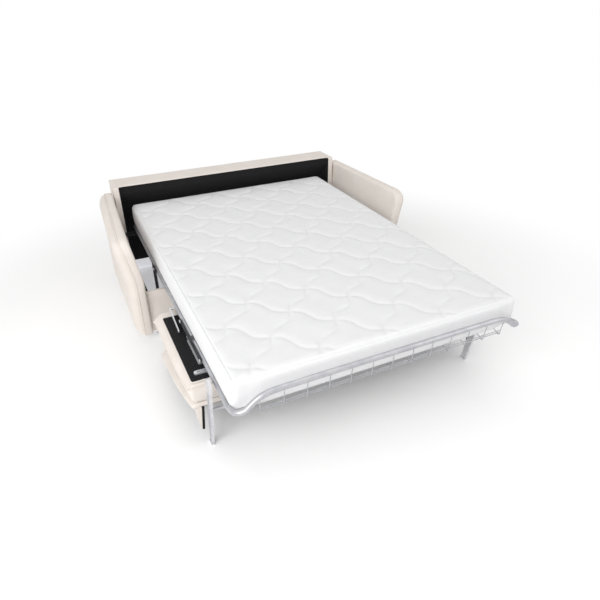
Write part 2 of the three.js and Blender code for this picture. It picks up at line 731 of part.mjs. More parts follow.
// A stub of lined fabric hangs at each front corner of the backrest
for (const [word, side] of sides) {
  const tabTopZ = backrestFrontBottomZ + backrestBoardThickness;
  const tabInner = legOuter + tabLegClearance;
  const outline = [
    [backrestHalfWidth - tabOuterInset, tabTopZ], [tabInner, tabTopZ],
    [tabInner, tabBottomZ], [tabInner + tabBottomWidth, tabBottomZ],
  ];
  const ring = (y) => outline.map(([x, z]) => [x, y, z]);
  const tabRearY = backrestFrontY + backrestBoardInset - seatGap;
  const tabRings = [ring(tabRearY - tabThickness), ring(tabRearY)];
  add(`backrest_tab_${word}`, loft(tabRings, mirrored(side)), creamFabric());
}
// The hinge rod fills the space between the seat and the backrest
const hingeFloorZ = backrestHeight(backrestHingeY, backrestFrontTopZ, backrestRearTopZ);
const hingeRodZ = (seatBottomZ + hingeFloorZ) / 2;
const hingeRodRadius = (seatBottomZ - hingeFloorZ) / 2 - seatGap;
const hingeRodReach = backrestHalfWidth - hingeRodEndInset;
const hingeRodEnds = [-hingeRodReach, hingeRodReach].map((x) => [x, backrestHingeY, hingeRodZ]);
add('backrest_hinge_rod', rod(...hingeRodEnds, hingeRodRadius, pinSides), zincSteel());

// Back of the sofa: one section run across, with a padded top that leans over the well
const backSection = [
  [backRearY, bodyBottomZ], [backRearY, backTopZ],
  [backTopFrontY, backTopZ], [backTopFrontY, backTopZ - backTopRoll],
  [backWallFrontY, backWallStartZ], [backWallFrontY, bodyBottomZ],
];
const backHalf = bodyHalfWidth - wingThickness - seatGap;
add('back_panel', plate(backSection, -backHalf, backHalf), creamFabric());

const linerSection = [
  [backTopFrontY - seatGap, backTopZ], [backTopFrontY - seatGap - linerThickness, backTopZ],
  [backTopFrontY - seatGap - linerThickness, backTopZ - backTopRoll],
  [backWallFrontY - seatGap - linerThickness, backWallStartZ],
  [backWallFrontY - seatGap - linerThickness, linerBottomZ], [backWallFrontY - seatGap, linerBottomZ],
  [backWallFrontY - seatGap, backWallStartZ], [backTopFrontY - seatGap, backTopZ - backTopRoll],
];
add('back_liner', plate(linerSection, -backHalf, backHalf), blackLining());

for (const [word, side] of sides) {
  const wingInner = bodyHalfWidth - wingThickness;
  const wingCorners = rectangle(wingFrontY, backRearY, bodyBottomZ, backTopZ);
  const wingOutline = roundedOutline(wingCorners, wingCorners.map(() => wingCornerRadius), 0);
  add(`back_wing_${word}`, plate(wingOutline, ...span(side, wingInner, bodyHalfWidth)), creamFabric());
  const boardRearY = wingFrontY - seatGap;
  const boardFrontY = frontRailFrontY + frontRailThickness + seatGap;
  const boardAcross = (near, far) => (
    block(...span(side, near, far), boardFrontY, boardRearY, bodyBottomZ, sideBoardTopZ)
  );
  add(`side_board_${word}`, boardAcross(sideBoardInner, bodyHalfWidth), palePlywood());
  add(`side_liner_${word}`, boardAcross(sideLinerInner, sideBoardInner - seatGap), blackLining());
}
add('front_rail', block(-bodyHalfWidth, bodyHalfWidth, frontRailFrontY, frontRailFrontY + frontRailThickness,
  bodyBottomZ, frontRailTopZ), creamFabric());

const coverTopZ = bodyBottomZ - seatGap;
const coverBottomZ = coverTopZ - coverThickness;
add('dust_cover',
  block(-bodyHalfWidth, bodyHalfWidth, frontRailFrontY, backRearY, coverBottomZ, coverTopZ), greyCover());
const footTopZ = coverBottomZ - seatGap;
for (const [row, y] of [['front', footFrontY], ['rear', footRearY]]) {
  for (const [word, side] of sides) {
    const x = side * (bodyHalfWidth - footInsetX);
    add(`foot_${row}_${word}`, rod([x, y, 0], [x, y, footTopZ], footRadius, pinSides), blackPlastic());
  }
}

// Arms: a flared panel, and a stuffed pad sewn to its outside
const armCorners = [
  [armFrontBottomY, armBottomZ], [armRearY, armBottomZ], [armRearY, armTopZ], [armFrontTopY, armTopZ],
];
const armRadii = [armBottomCornerRadius, armBottomCornerRadius, armRearCornerRadius, armTopCornerRadius];
function flareAt(y, z) {
  const forward = Math.min(1, Math.max(0, (armFlareRearY - y) / (armFlareRearY - armFlareFrontY)));
  const reach = armFlareRear + (armFlareFront - armFlareRear) * forward;
  return reach * (Math.max(0, z - armFlareStartZ) / (armTopZ - armFlareStartZ)) ** armFlarePower;
}
function armRing(inset, outwards) {
  return roundedOutline(armCorners, armRadii, inset, edgeSteps + 1).map(([y, z]) => [outwards, y, z]);
}
function armPlace(side) {
  return ([outwards, y, z]) => [side * (innerHalfWidth + outwards + flareAt(y, z)), y, z];
}
const armMiddleInset = armSpan * armMiddleInsetShare;
const seamInset = armPanelThickness * armPanelRings[armPanelRings.length - 1][0];
const padStart = armPanelThickness + seatGap;
const panelRing = ([inset, out]) => armRing(inset * armPanelThickness, out * armPanelThickness);
const padRing = ([inset, out]) => (
  armRing(seamInset + inset * armPadThickness, padStart + out * armPadThickness)
);
for (const [word, side] of sides) {
  add(`arm_panel_${word}`, loft([
    armRing(armMiddleInset, 0), ...armPanelRings.map(panelRing), armRing(armMiddleInset, armPanelThickness),
  ], armPlace(side)), creamFabric());
  add(`arm_pad_${word}`, loft([
    armRing(armMiddleInset, padStart + armPadThickness), ...armPadRings.map(padRing),
    armRing(seamInset, padStart), armRing(armMiddleInset, padStart),
  ], armPlace(side)), creamFabric());
}

// The origin is under the middle of the whole object
const extent = new THREE.Box3().setFromObject(sofa);
sofa.position.y = -(extent.min.y + extent.max.y) / 2;
sofa.updateMatrixWorld(true);

export default sofa;
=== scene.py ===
# %% [markdown]
# # A sleeper sofa with its bed pulled out
# The sofa is a low upholstered shell with two flared arms. Its bed is a frame of round tube and
# wire that carries a quilted mattress, and the seat and backrest hang upside down under it. The
# measured model holds every real size and joint. This script loads it and dresses it in fabric,
# foam and metal.

# %% Load the measured model
import json
import math

import bpy
import numpy as np
from mathutils import Matrix, Vector


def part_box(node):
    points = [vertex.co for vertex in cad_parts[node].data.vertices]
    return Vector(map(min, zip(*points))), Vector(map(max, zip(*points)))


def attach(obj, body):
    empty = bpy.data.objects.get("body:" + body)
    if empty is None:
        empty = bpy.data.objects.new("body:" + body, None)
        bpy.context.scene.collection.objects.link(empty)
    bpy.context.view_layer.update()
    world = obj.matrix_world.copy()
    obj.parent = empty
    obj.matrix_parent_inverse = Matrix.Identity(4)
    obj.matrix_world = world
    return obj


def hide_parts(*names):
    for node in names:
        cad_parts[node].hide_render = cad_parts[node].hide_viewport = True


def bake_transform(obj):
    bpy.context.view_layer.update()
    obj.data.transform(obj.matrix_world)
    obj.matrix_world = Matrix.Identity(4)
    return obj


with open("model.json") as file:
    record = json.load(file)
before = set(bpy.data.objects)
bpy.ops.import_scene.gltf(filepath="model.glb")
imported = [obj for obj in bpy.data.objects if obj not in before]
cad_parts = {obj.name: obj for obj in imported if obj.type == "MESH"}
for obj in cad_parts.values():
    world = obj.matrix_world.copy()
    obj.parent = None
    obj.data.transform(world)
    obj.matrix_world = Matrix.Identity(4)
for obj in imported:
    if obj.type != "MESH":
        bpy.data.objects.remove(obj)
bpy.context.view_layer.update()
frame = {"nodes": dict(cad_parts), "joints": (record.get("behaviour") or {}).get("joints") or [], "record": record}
print("nodes in the frame:", len(frame["nodes"]))

# %% [markdown]
# ## One ruler for the whole script
# The bed is easiest to think of in millimetres from its own foot end. The frame is in metres from
# the middle of the object, so one small function turns the first into the second, and another reads
# a node's corners back in millimetres. Sizes that come from `corners` follow the measured model by
# themselves.

# %% Millimetres from the foot of the mattress
METRES = 0.001
FOOT_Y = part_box("mattress_foot")[0].y / METRES


def to_frame(points):
    """Millimetres from the foot of the mattress, as metres in the frame."""
    placed = np.array(points, float).reshape(-1, 3)
    placed[:, 1] += FOOT_Y
    return placed * METRES


def corners(node):
    """A node's lowest and highest corner, in millimetres from the foot of the mattress."""
    found = np.array([list(corner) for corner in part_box(node)]) / METRES
    found[:, 1] -= FOOT_Y
    return found


MATTRESS_LOW, MATTRESS_HIGH = corners("mattress_head")
print("the head end of the mattress lies at y =", round(MATTRESS_HIGH[1]), "mm")

# %% [markdown]
# ## The camera
# The camera looks over the bed from the left of its foot end and well above it, with a lens of
# about 31 mm. Its place and its turn were fitted to the straight edges of the mattress, which was
# taken as 1400 mm wide.

# %% Camera
CAMERA_PLACE = (-1089.2, -1446.5, 1793.3)
CAMERA_YAW = math.radians(25.025)
CAMERA_DOWN = math.radians(30.955)
CAMERA_ROLL = math.radians(-0.545)
CAMERA_LENS = 31.278


def camera_turn(yaw, down, roll):
    """The camera's axes as a rotation: it looks along its own -Z."""
    flat = math.cos(down)
    ahead = Vector((math.sin(yaw) * flat, math.cos(yaw) * flat, -math.sin(down)))
    level = Vector((math.cos(yaw), -math.sin(yaw), 0))
    above = level.cross(ahead)
    right = math.cos(roll) * level + math.sin(roll) * above
    up = -math.sin(roll) * level + math.cos(roll) * above
    return Matrix((right, up, -ahead)).transposed().to_4x4()


camera_data = bpy.data.cameras.new("camera")
camera_data.lens = CAMERA_LENS
camera = bpy.data.objects.new("camera", camera_data)
camera.matrix_world = camera_turn(CAMERA_YAW, CAMERA_DOWN, CAMERA_ROLL)
camera.location = Vector(to_frame(CAMERA_PLACE)[0])
bpy.context.scene.collection.objects.link(camera)
bpy.context.scene.camera = camera
print("camera at", [round(value, 3) for value in camera.location])

# %% [markdown]
# ## Writing finishes as sums
# A finish is a graph of nodes. Wired by hand it takes many lines, so a socket is wrapped in a small
# class that knows the arithmetic operators: `0.5 + 0.5 * wave` then adds the Math nodes by itself.

# %% Values
class Value:
    """A number or colour that changes over a surface: one output socket that takes part in sums."""

    def __init__(self, graph, socket):
        self.graph = graph
        self.socket = socket

    def maths(self, operation, *others):
        return self.graph.maths(operation, self, *others)

    def __add__(self, other):
        return self.maths("ADD", other)

    def __mul__(self, other):
        return self.maths("MULTIPLY", other)

    def __sub__(self, other):
        return self.maths("SUBTRACT", other)

    def __rsub__(self, other):
        return self.graph.maths("SUBTRACT", other, self)

    def __pow__(self, other):
        return self.maths("POWER", other)

    __radd__ = __add__
    __rmul__ = __mul__

    def sine(self):
        return self.maths("SINE")

    def size(self):
        return self.maths("ABSOLUTE")

    def within(self, low, high):
        """How far the value has come from low to high, smoothly, from 0 to 1."""
        settings = {"interpolation_type": "SMOOTHSTEP"}
        inputs = {0: self, 1: low, 2: high, 3: 0.0, 4: 1.0}
        return self.graph.node("ShaderNodeMapRange", settings, inputs)


print("values can be added and multiplied")

# %% [markdown]
# Every other node comes from one method, which takes the node's type, its settings and what its
# sockets get: a number, a colour or a value. The same method serves the finishes, the floor and the
# world. `seen` tells the camera and reflections from light that is only being gathered, so that a
# backdrop can be white without lighting the sofa more.

# %% Node trees
class Graph:
    """A node tree that is built by calls, each of which adds one node."""

    def __init__(self, tree):
        self.tree = tree

    def plug(self, node, name, value):
        """Links a value to a socket of a node, or sets the socket to a number or colour."""
        if isinstance(value, Value):
            self.tree.links.new(value.socket, node.inputs[name])
        else:
            node.inputs[name].default_value = value

    def node(self, kind, settings=None, inputs=None, output=0):
        made = self.tree.nodes.new(kind)
        for name, value in (settings or {}).items():
            setattr(made, name, value)
        for name, value in (inputs or {}).items():
            self.plug(made, name, value)
        return Value(self, made.outputs[output])

    def maths(self, operation, *values):
        return self.node("ShaderNodeMath", {"operation": operation}, dict(enumerate(values)))

    def seen(self):
        """1 for the camera, a reflection or a see-through surface, and 0 for gathered light."""
        rays = self.node("ShaderNodeLightPath").socket.node.outputs
        camera = Value(self, rays["Is Camera Ray"])
        glossy = Value(self, rays["Is Glossy Ray"])
        through = Value(self, rays["Is Transmission Ray"])
        return camera.maths("MAXIMUM", glossy).maths("MAXIMUM", through)


print("node trees can be built by calls")

# %% [markdown]
# A finish starts from Blender's Principled shader and from the place on the object, which every
# pattern is made of. The cloth patterns are flat, so they are laid on from whichever side the
# surface faces.

# %% Finishes
class Finish(Graph):
    """One material."""

    def __init__(self, name, roughness, metallic=0.0):
        self.material = bpy.data.materials.new(name)
        self.material.use_nodes = True
        super().__init__(self.material.node_tree)
        self.shader = self.tree.nodes["Principled BSDF"]
        self.feed("Roughness", roughness)
        self.feed("Metallic", metallic)
        self.place = self.node("ShaderNodeTexCoord", output="Object")
        self.x, self.y, self.z = self.split(self.place)

    def feed(self, name, value):
        self.plug(self.shader, name, value)

    def split(self, vector):
        made = self.node("ShaderNodeSeparateXYZ", inputs={0: vector}).socket.node
        return [Value(self, socket) for socket in made.outputs]

    def noise(self, scale, detail=3.0, stretch=(1, 1, 1)):
        """Cloudy noise; scale is in cells per metre."""
        placed = self.node("ShaderNodeMapping", inputs={"Vector": self.place, "Scale": stretch})
        inputs = {"Vector": placed, "Scale": scale, "Detail": detail, "Roughness": 0.55}
        return self.node("ShaderNodeTexNoise", inputs=inputs)

    def mix(self, share, first, second):
        """A colour that goes from first to second as share goes from 0 to 1."""
        inputs = {0: share, 6: (*first, 1), 7: (*second, 1)}
        return self.node("ShaderNodeMix", {"data_type": "RGBA"}, inputs, output=2)

    def bump(self, height, depth):
        """Relief on the surface: height goes from 0 to 1, and depth is in millimetres."""
        inputs = {"Height": height, "Distance": depth * METRES, "Strength": 1.0}
        self.feed("Normal", self.node("ShaderNodeBump", inputs=inputs))

    def facing(self):
        """How far the surface faces along x, y and z, as three shares that add up to one."""
        normal = self.split(self.node("ShaderNodeTexCoord", output="Normal"))
        return [axis * axis for axis in normal]

    def on_each_side(self, pattern):
        """A flat pattern of two lengths, laid on the surface from whichever side it faces."""
        along_x, along_y, along_z = self.facing()
        x_side, y_side = pattern(self.y, self.z), pattern(self.x, self.z)
        return x_side * along_x + y_side * along_y + pattern(self.x, self.y) * along_z


print("finishes can be written as sums")

# %% [markdown]
# ## Cream upholstery fabric
# The cover is a soft plain weave in cream. Seen from a step away it reads as a faintly mottled
# surface, and close up as small crossing yarns. Both are patterns of the place on the object, so no
# unwrapping is needed. Sheen gives the pale bloom that fibre ends have at grazing angles.

# %% Cream fabric
CREAM = (0.78, 0.725, 0.675)
CREAM_SHADE = (0.69, 0.63, 0.575)
YARN = 2.2


def plain_weave(pitch):
    """Yarns that pass over and under each other, pitch millimetres apart."""
    turn = math.pi / (pitch * METRES)
    return lambda a, b: (a * turn).sine() * (b * turn).sine() * 0.5 + 0.5


def make_cream_fabric():
    finish = Finish("cream_fabric", 0.92)
    weave = finish.on_each_side(plain_weave(YARN))
    slub = finish.noise(420.0, 2.0, stretch=(1, 1, 0.35))
    cloud = finish.noise(9.0, 4.0)
    fleck = finish.noise(1300.0, 1.0)
    share = cloud.within(0.3, 0.75) * 0.45 + slub.within(0.4, 0.8) * 0.35
    share += fleck.within(0.5, 0.75) * 0.2
    finish.feed("Base Color", finish.mix(share, CREAM, CREAM_SHADE))
    finish.bump(weave * 0.6 + slub * 0.6, 0.45)
    finish.feed("Sheen Weight", 0.12)
    finish.feed("Specular IOR Level", 0.25)
    return finish.material


cream_fabric = make_cream_fabric()
print("made", cream_fabric.name)

# %% [markdown]
# ## Black lining
# The hidden faces are lined with black cloth that is embossed with small diamonds. Two slanting
# waves multiplied together make the diamonds. The same value lifts the relief and paints a faint
# highlight on the raised tops.

# %% Black lining
LINING = (0.003, 0.003, 0.004)
LINING_FLECK_AND_HIGHLIGHT = (0.028, 0.028, 0.029)
DIAMOND = 24.0


def diamonds(pitch):
    """Small cushions between two families of slanting lines."""
    turn = math.pi / (pitch * METRES)
    return lambda a, b: (((a + b) * turn).sine() * ((a - b) * turn).sine()).size() ** 0.45


def make_black_lining():
    finish = Finish("black_lining", 0.8)
    relief = finish.on_each_side(diamonds(DIAMOND))
    fibre = finish.noise(900.0, 2.0)
    # painted highlight: the raised diamond tops are mixed towards the lighter black; the fibre noise adds random
    # flecks
    share = relief * 0.6 + fibre.within(0.45, 0.8) * 0.2
    finish.feed("Base Color", finish.mix(share, LINING, LINING_FLECK_AND_HIGHLIGHT))
    finish.bump(relief + fibre * 0.15, 1.6)
    finish.feed("Sheen Weight", 0.02)
    finish.feed("Specular IOR Level", 0.12)
    return finish.material


black_lining = make_black_lining()
print("made", black_lining.name)

# %% [markdown]
# ## Mattress ticking
# The ticking is a white knit. Its quilting is modelled as real relief further down, so the finish
# only adds the small loops of the knit and a few soft creases. The top is painted a darker white
# than the sides. This is painted shade that stands for the sides catching more light than the top,
# and its share follows how far the surface faces up.

# %% White ticking
TICKING = (0.8, 0.8, 0.805)
TICKING_MOTTLE_AND_TOP_SHADE = (0.745, 0.745, 0.752)
KNIT = 3.4
# the weight of the painted top shade against the random mottle
PAINTED_TOP_SHADE_SHARE = 0.62


def make_ticking():
    finish = Finish("mattress_ticking", 0.88)
    knit = finish.on_each_side(plain_weave(KNIT))
    cloud = finish.noise(14.0, 5.0)
    # painted shade: the more the surface faces up, the more it is mixed towards the darker white; the mottle is
    # random tone
    painted_top_shade = finish.facing()[2].within(0.55, 0.95)
    mottle = cloud.within(0.35, 0.75) * 0.6 + knit * 0.15
    share = painted_top_shade * PAINTED_TOP_SHADE_SHARE + mottle * (1 - PAINTED_TOP_SHADE_SHARE)
    finish.feed("Base Color", finish.mix(share, TICKING, TICKING_MOTTLE_AND_TOP_SHADE))
    crease = finish.noise(38.0, 3.0, stretch=(0.5, 1.4, 1))
    finish.bump(knit * 0.12 + crease * 0.9, 1.0)
    finish.feed("Sheen Weight", 0.08)
    finish.feed("Specular IOR Level", 0.2)
    return finish.material


mattress_ticking = make_ticking()
print("made", mattress_ticking.name)

# %% [markdown]
# ## Metals
# The tubes wear a silver powder coat, the pins and legs are zinc plated, and the brackets are black.
# Each has the small unevenness of its process: orange peel in a coat, fine streaks in plating.

# %% Metals
SILVER, SILVER_SHADE = (0.50, 0.50, 0.52), (0.42, 0.42, 0.45)
BLACK, BLACK_SHADE = (0.02, 0.02, 0.023), (0.045, 0.045, 0.05)
ZINC, ZINC_DULL = (0.74, 0.74, 0.76), (0.58, 0.58, 0.61)


def make_coat(name, colour, shade, roughness, metallic):
    """A powder coat: fine orange peel and slightly uneven gloss."""
    finish = Finish(name, roughness, metallic)
    patch = finish.noise(26.0, 4.0)
    finish.feed("Base Color", finish.mix(patch.within(0.35, 0.7), colour, shade))
    finish.feed("Roughness", patch * 0.22 + (roughness - 0.1))
    finish.bump(finish.noise(700.0, 2.0), 0.12)
    return finish.material


def make_plating():
    """Zinc plate: pale, with drawn streaks and duller patches."""
    finish = Finish("zinc_steel", 0.36, 0.55)
    streak = finish.noise(220.0, 3.0, stretch=(6, 6, 0.6))
    patch = finish.noise(34.0, 5.0)
    share = streak.within(0.35, 0.7) * 0.5 + patch.within(0.4, 0.7) * 0.5
    finish.feed("Base Color", finish.mix(share, ZINC, ZINC_DULL))
    finish.feed("Roughness", patch * 0.3 + 0.2)
    finish.bump(streak, 0.08)
    return finish.material


silver_paint = make_coat("silver_paint", SILVER, SILVER_SHADE, 0.38, 0.6)
black_steel = make_coat("black_steel", BLACK, BLACK_SHADE, 0.45, 0.3)
zinc_steel = make_plating()
print("made", silver_paint.name, black_steel.name, zinc_steel.name)

# %% [markdown]
# ## Wood, cover cloth and plastic
# The side boards are plywood and the feet are moulded plastic with a fine grain. The cloth under
# the sofa is thin and lies close to a bright floor. It is given a little emission, a painted glow
# that lightens it in the shade of the well.

# %% Wood, cover cloth and plastic
WOOD, WOOD_DARK = (0.68, 0.52, 0.34), (0.5, 0.36, 0.22)
COVER, COVER_SHADE = (0.76, 0.77, 0.79), (0.68, 0.69, 0.71)
PLASTIC, PLASTIC_SHADE = (0.02, 0.02, 0.022), (0.035, 0.035, 0.037)
PAINTED_GLOW_COLOUR, PAINTED_GLOW_STRENGTH = (0.8, 0.8, 0.82, 1), 0.45


def make_plywood():
    """Plies along the edge and long grain on the face."""
    finish = Finish("plywood", 0.7)
    grain = finish.noise(60.0, 5.0, stretch=(4, 0.25, 4))
    finish.feed("Base Color", finish.mix(grain.within(0.35, 0.7), WOOD, WOOD_DARK))
    finish.bump(grain, 0.3)
    return finish.material


def make_cover_cloth():
    """Thin bonded cloth in light grey, dimpled by its rollers."""
    finish = Finish("cover_cloth", 0.9)
    cloud = finish.noise(30.0, 4.0)
    finish.feed("Base Color", finish.mix(cloud.within(0.3, 0.7), COVER, COVER_SHADE))
    finish.bump(finish.on_each_side(plain_weave(3.0)), 0.3)
    # painted glow: emission on a cloth that is no lamp, which lightens it in the shade of the well
    finish.feed("Emission Color", PAINTED_GLOW_COLOUR)
    finish.feed("Emission Strength", PAINTED_GLOW_STRENGTH)
    return finish.material


def make_black_plastic():
    """Moulded plastic with a fine spark-eroded grain."""
    finish = Finish("black_plastic", 0.5)
    grain = finish.noise(1500.0, 2.0)
    finish.feed("Base Color", finish.mix(grain.within(0.4, 0.7), PLASTIC, PLASTIC_SHADE))
    finish.bump(grain, 0.1)
    return finish.material


FINISHES = {
    "cream_fabric": cream_fabric, "black_lining": black_lining,
    "mattress_ticking": mattress_ticking, "silver_paint": silver_paint,
    "black_steel": black_steel, "zinc_steel": zinc_steel, "plywood": make_plywood(),
    "cover_cloth": make_cover_cloth(), "black_plastic": make_black_plastic(),
}
print("finishes:", ", ".join(FINISHES))

# %% [markdown]
# ## From points to pieces
# Every modelled piece goes through one function. It takes points in millimetres and faces, makes the
# mesh, gives it a finish, and lets it ride on the part of the sofa that carries it. The faces are
# turned outwards first, because a mirrored piece comes out inside out.

# %% Make a piece
SHARP_ANGLE = math.radians(50)


def face_out(points, faces):
    """The faces turned so that they all look outwards."""
    total = 0.0
    for face in faces:
        first = points[face[0]]
        for j in range(1, len(face) - 1):
            total += first.dot(np.cross(points[face[j]], points[face[j + 1]]))
    return faces if total > 0 else [tuple(reversed(face)) for face in faces]


def make_mesh(name, points, faces, slot):
    data = bpy.data.meshes.new(name)
    data.from_pydata(to_frame(points).tolist(), [], faces)
    data.materials.append(FINISHES[slot])
    data.polygons.foreach_set("use_smooth", [True] * len(data.polygons))
    data.set_sharp_from_angle(angle=SHARP_ANGLE)
    made = bpy.data.objects.new(name, data)
    bpy.context.scene.collection.objects.link(made)
    return made


def make_piece(name, points, faces, slot, body, replaces=()):
    made = make_mesh(name, points, face_out(points, faces), slot)
    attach(made, body)
    if replaces:
        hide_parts(*replaces)
    return made


print("pieces can be made of points and faces")

# %% [markdown]
# ## Round bars along a path
# Tubes, wires and piping are all a circle carried along a path. The circle is turned from step to
# step by the smallest turn that keeps it square to the path, so it never twists.

# %% Bars, tubes and piping
def carry_frames(path, closed):
    """Two directions square to the path at each of its points."""
    if closed:
        ahead = np.roll(path, -1, 0) - np.roll(path, 1, 0)
    else:
        ahead = np.gradient(path, axis=0)
    ahead /= np.linalg.norm(ahead, axis=1)[:, None]
    upright = abs(ahead[0][2]) >= 0.9
    side = np.cross(ahead[0], [1.0, 0.0, 0.0] if upright else [0.0, 0.0, 1.0])
    sides = []
    for direction in ahead:
        side = side - direction * side.dot(direction)
        side /= np.linalg.norm(side)
        sides.append(side)
    sides = np.array(sides)
    return sides, np.cross(ahead, sides)


def ring_faces(steps, rings, count):
    """The faces between rings of count points, each joined to the next."""
    faces = []
    for step in range(steps):
        low, high = step * count, (step + 1) % rings * count
        for i in range(count):
            j = (i + 1) % count
            faces.append((low + i, low + j, high + j, high + i))
    return faces


def end_faces(rings, count):
    """The faces that close the first and the last ring."""
    return [tuple(reversed(range(count))), tuple(range((rings - 1) * count, rings * count))]


def round_bar(path, radius, count, closed=False):
    """Points and faces of a round bar of that radius along the path, its ends closed."""
    path = np.array(path, float)
    side, up = carry_frames(path, closed)
    angles = (np.arange(count) * 2 * math.pi / count)[None, :, None]
    ring = np.cos(angles) * side[:, None, :] + np.sin(angles) * up[:, None, :]
    points = (path[:, None, :] + ring * radius).reshape(-1, 3)
    if closed:
        return points, ring_faces(len(path), len(path), count)
    return points, ring_faces(len(path) - 1, len(path), count) + end_faces(len(path), count)


def gather(shells):
    """Several shells as the points and faces of one piece."""
    points, faces, base = [], [], 0
    for shell_points, shell_faces in shells:
        points.append(np.array(shell_points, float))
        faces += [tuple(base + i for i in face) for face in shell_faces]
        base += len(shell_points)
    return np.concatenate(points), faces


print("bars can be carried along a path")

# %% [markdown]
# A bent tube is given by a few points only. The curve through them is a Catmull-Rom curve whose
# pace follows the square root of each gap: the plain kind swings out where two points are close
# together, and this one doesn't.

# %% Smooth paths
def smooth_path(points, steps):
    """A smooth curve through the points, with that many steps between each two."""
    points = [np.array(point, float) for point in points]
    points = [2 * points[0] - points[1], *points, 2 * points[-1] - points[-2]]
    path = []
    for p0, p1, p2, p3 in zip(points, points[1:], points[2:], points[3:]):
        gaps = [np.linalg.norm(b - a) ** 0.5 for a, b in ((p0, p1), (p1, p2), (p2, p3))]
        t0, t1, t2, t3 = np.cumsum([0.0, *gaps])
        for t in np.linspace(t1, t2, steps, endpoint=False):
            a1 = (p0 * (t1 - t) + p1 * (t - t0)) / (t1 - t0)
            a2 = (p1 * (t2 - t) + p2 * (t - t1)) / (t2 - t1)
            a3 = (p2 * (t3 - t) + p3 * (t - t2)) / (t3 - t2)
            b1 = (a1 * (t2 - t) + a2 * (t - t0)) / (t2 - t0)
            b2 = (a2 * (t3 - t) + a3 * (t - t1)) / (t3 - t1)
            path.append((b1 * (t2 - t) + b2 * (t - t1)) / (t2 - t1))
    return np.array([*path, points[-2]])


print("paths can be smoothed")

# %% [markdown]
# ## Outlines with round corners, and lofts
# Cushions, boards and arms all start from a polygon whose corners are rounded. A loft then joins
# several such rings, each a little further in and further along, which gives the soft edge of
# something stuffed.

# %% Rounded outlines and lofts
SMALLEST_ROUND = 0.12


def rounded_outline(polygon, radii, inset=0.0, arc=8, along=1):
    """The polygon drawn inwards by inset, its corners rounded, its edges in along stretches."""
    polygon = np.array(polygon, float)
    count = len(polygon)
    heading = np.roll(polygon, -1, 0) - polygon
    heading /= np.linalg.norm(heading, axis=1)[:, None]
    inwards = np.stack([-heading[:, 1], heading[:, 0]], 1)
    start = polygon + inwards * inset
    arcs = []
    for i in range(count):
        before, after = heading[i - 1], heading[i]
        cross = before[0] * after[1] - before[1] * after[0]
        gap = start[i] - start[i - 1]
        tip = start[i - 1] + before * (gap[0] * after[1] - gap[1] * after[0]) / cross
        turn = math.atan2(cross, before.dot(after))
        side = math.copysign(1, turn)
        radius = max(radii[i] - side * inset, SMALLEST_ROUND * radii[i])
        first = tip - before * radius * math.tan(abs(turn) / 2)
        centre = first + side * radius * np.array([-before[1], before[0]])
        spoke = math.atan2(*(first - centre)[::-1])
        angles = spoke + turn * np.linspace(0, 1, arc + 1)
        arcs.append(centre + radius * np.stack([np.cos(angles), np.sin(angles)], 1))
    points = []
    shares = np.linspace(0, 1, along + 1)[1:-1]
    for i in range(count):
        end, following = arcs[i][-1], arcs[(i + 1) % count][0]
        points += [arcs[i], end + (following - end) * shares[:, None]]
    return np.concatenate(points)


def loft(rings):
    """Points and faces through rings of equal length; each end is closed by one face."""
    rings = [np.array(ring, float) for ring in rings]
    count = len(rings[0])
    faces = ring_faces(len(rings) - 1, len(rings), count) + end_faces(len(rings), count)
    return np.concatenate(rings), faces


def rectangle(low_a, high_a, low_b, high_b):
    return [(low_a, low_b), (high_a, low_b), (high_a, high_b), (low_a, high_b)]


print("outlines and lofts are ready")

# %% [markdown]
# Nothing that is upholstered by hand is quite flat. A few long crossing waves, which depend on the
# place alone, lift and lower each surface by about a millimetre, and they come out the same each
# time the script runs.

# %% Unevenness
WAVES = [  # direction, length as a share, shift, height as a share
    ((0.8, 0.5, 0.33), 1.0, 0.3, 1.0),
    ((-0.4, 0.85, 0.34), 0.71, 1.7, 0.7),
    ((0.25, -0.3, 0.92), 0.57, 4.1, 0.5),
]


def ripple(points, height, length, seed=0.0):
    """A gentle unevenness of that height, whose longest wave has that length."""
    points = np.array(points, float)
    total = 0.0
    for direction, stretch, shift, share in WAVES:
        way = points @ np.array(direction) * 2 * math.pi / (length * stretch)
        total = total + share * np.sin(way + (seed + shift))
    return height * total / sum(wave[-1] for wave in WAVES)


print("surfaces can be made uneven")

# %% [markdown]
# ## The mattress
# One mattress lies over the whole bed and bends where the bed folds. It is made as a finely divided
# box whose points are then moved: the edges are rounded, the sides swell, a seam runs round the rim
# of the top and wavy quilting crosses it on both slants. The seam and the quilting are real relief,
# because they catch the light in a way that a bump in the finish can't.

# %% Mattress quilting
MATTRESS_HALF = MATTRESS_HIGH[0]
MATTRESS_LENGTH = MATTRESS_HIGH[1]
MATTRESS_FLOOR = MATTRESS_LOW[2]
MATTRESS_DEPTH = 140.0
QUILT_PITCH = 212.0
QUILT_WAVE = 17.0
QUILT_SLANT = (-31.0, 30.0)
QUILT_SHIFT = (-26.0, 7.0)
QUILT_PUFF, PUFF_REACH = 6.0, 15.0
STITCH_DEPTH, STITCH_REACH = 1.8, 5.0


def distance_to_lines(across, along, first, shift):
    """How far a point lies from the nearest of a family of wavy quilting lines."""
    turn = 2 * math.pi / QUILT_PITCH
    wave = QUILT_WAVE * np.cos((along - shift) * turn)
    slope = QUILT_WAVE * turn * np.sin((along - shift) * turn)
    offset = across - first - wave
    offset -= QUILT_PITCH * np.round(offset / QUILT_PITCH)
    return np.abs(offset) / np.sqrt(1 + slope ** 2)


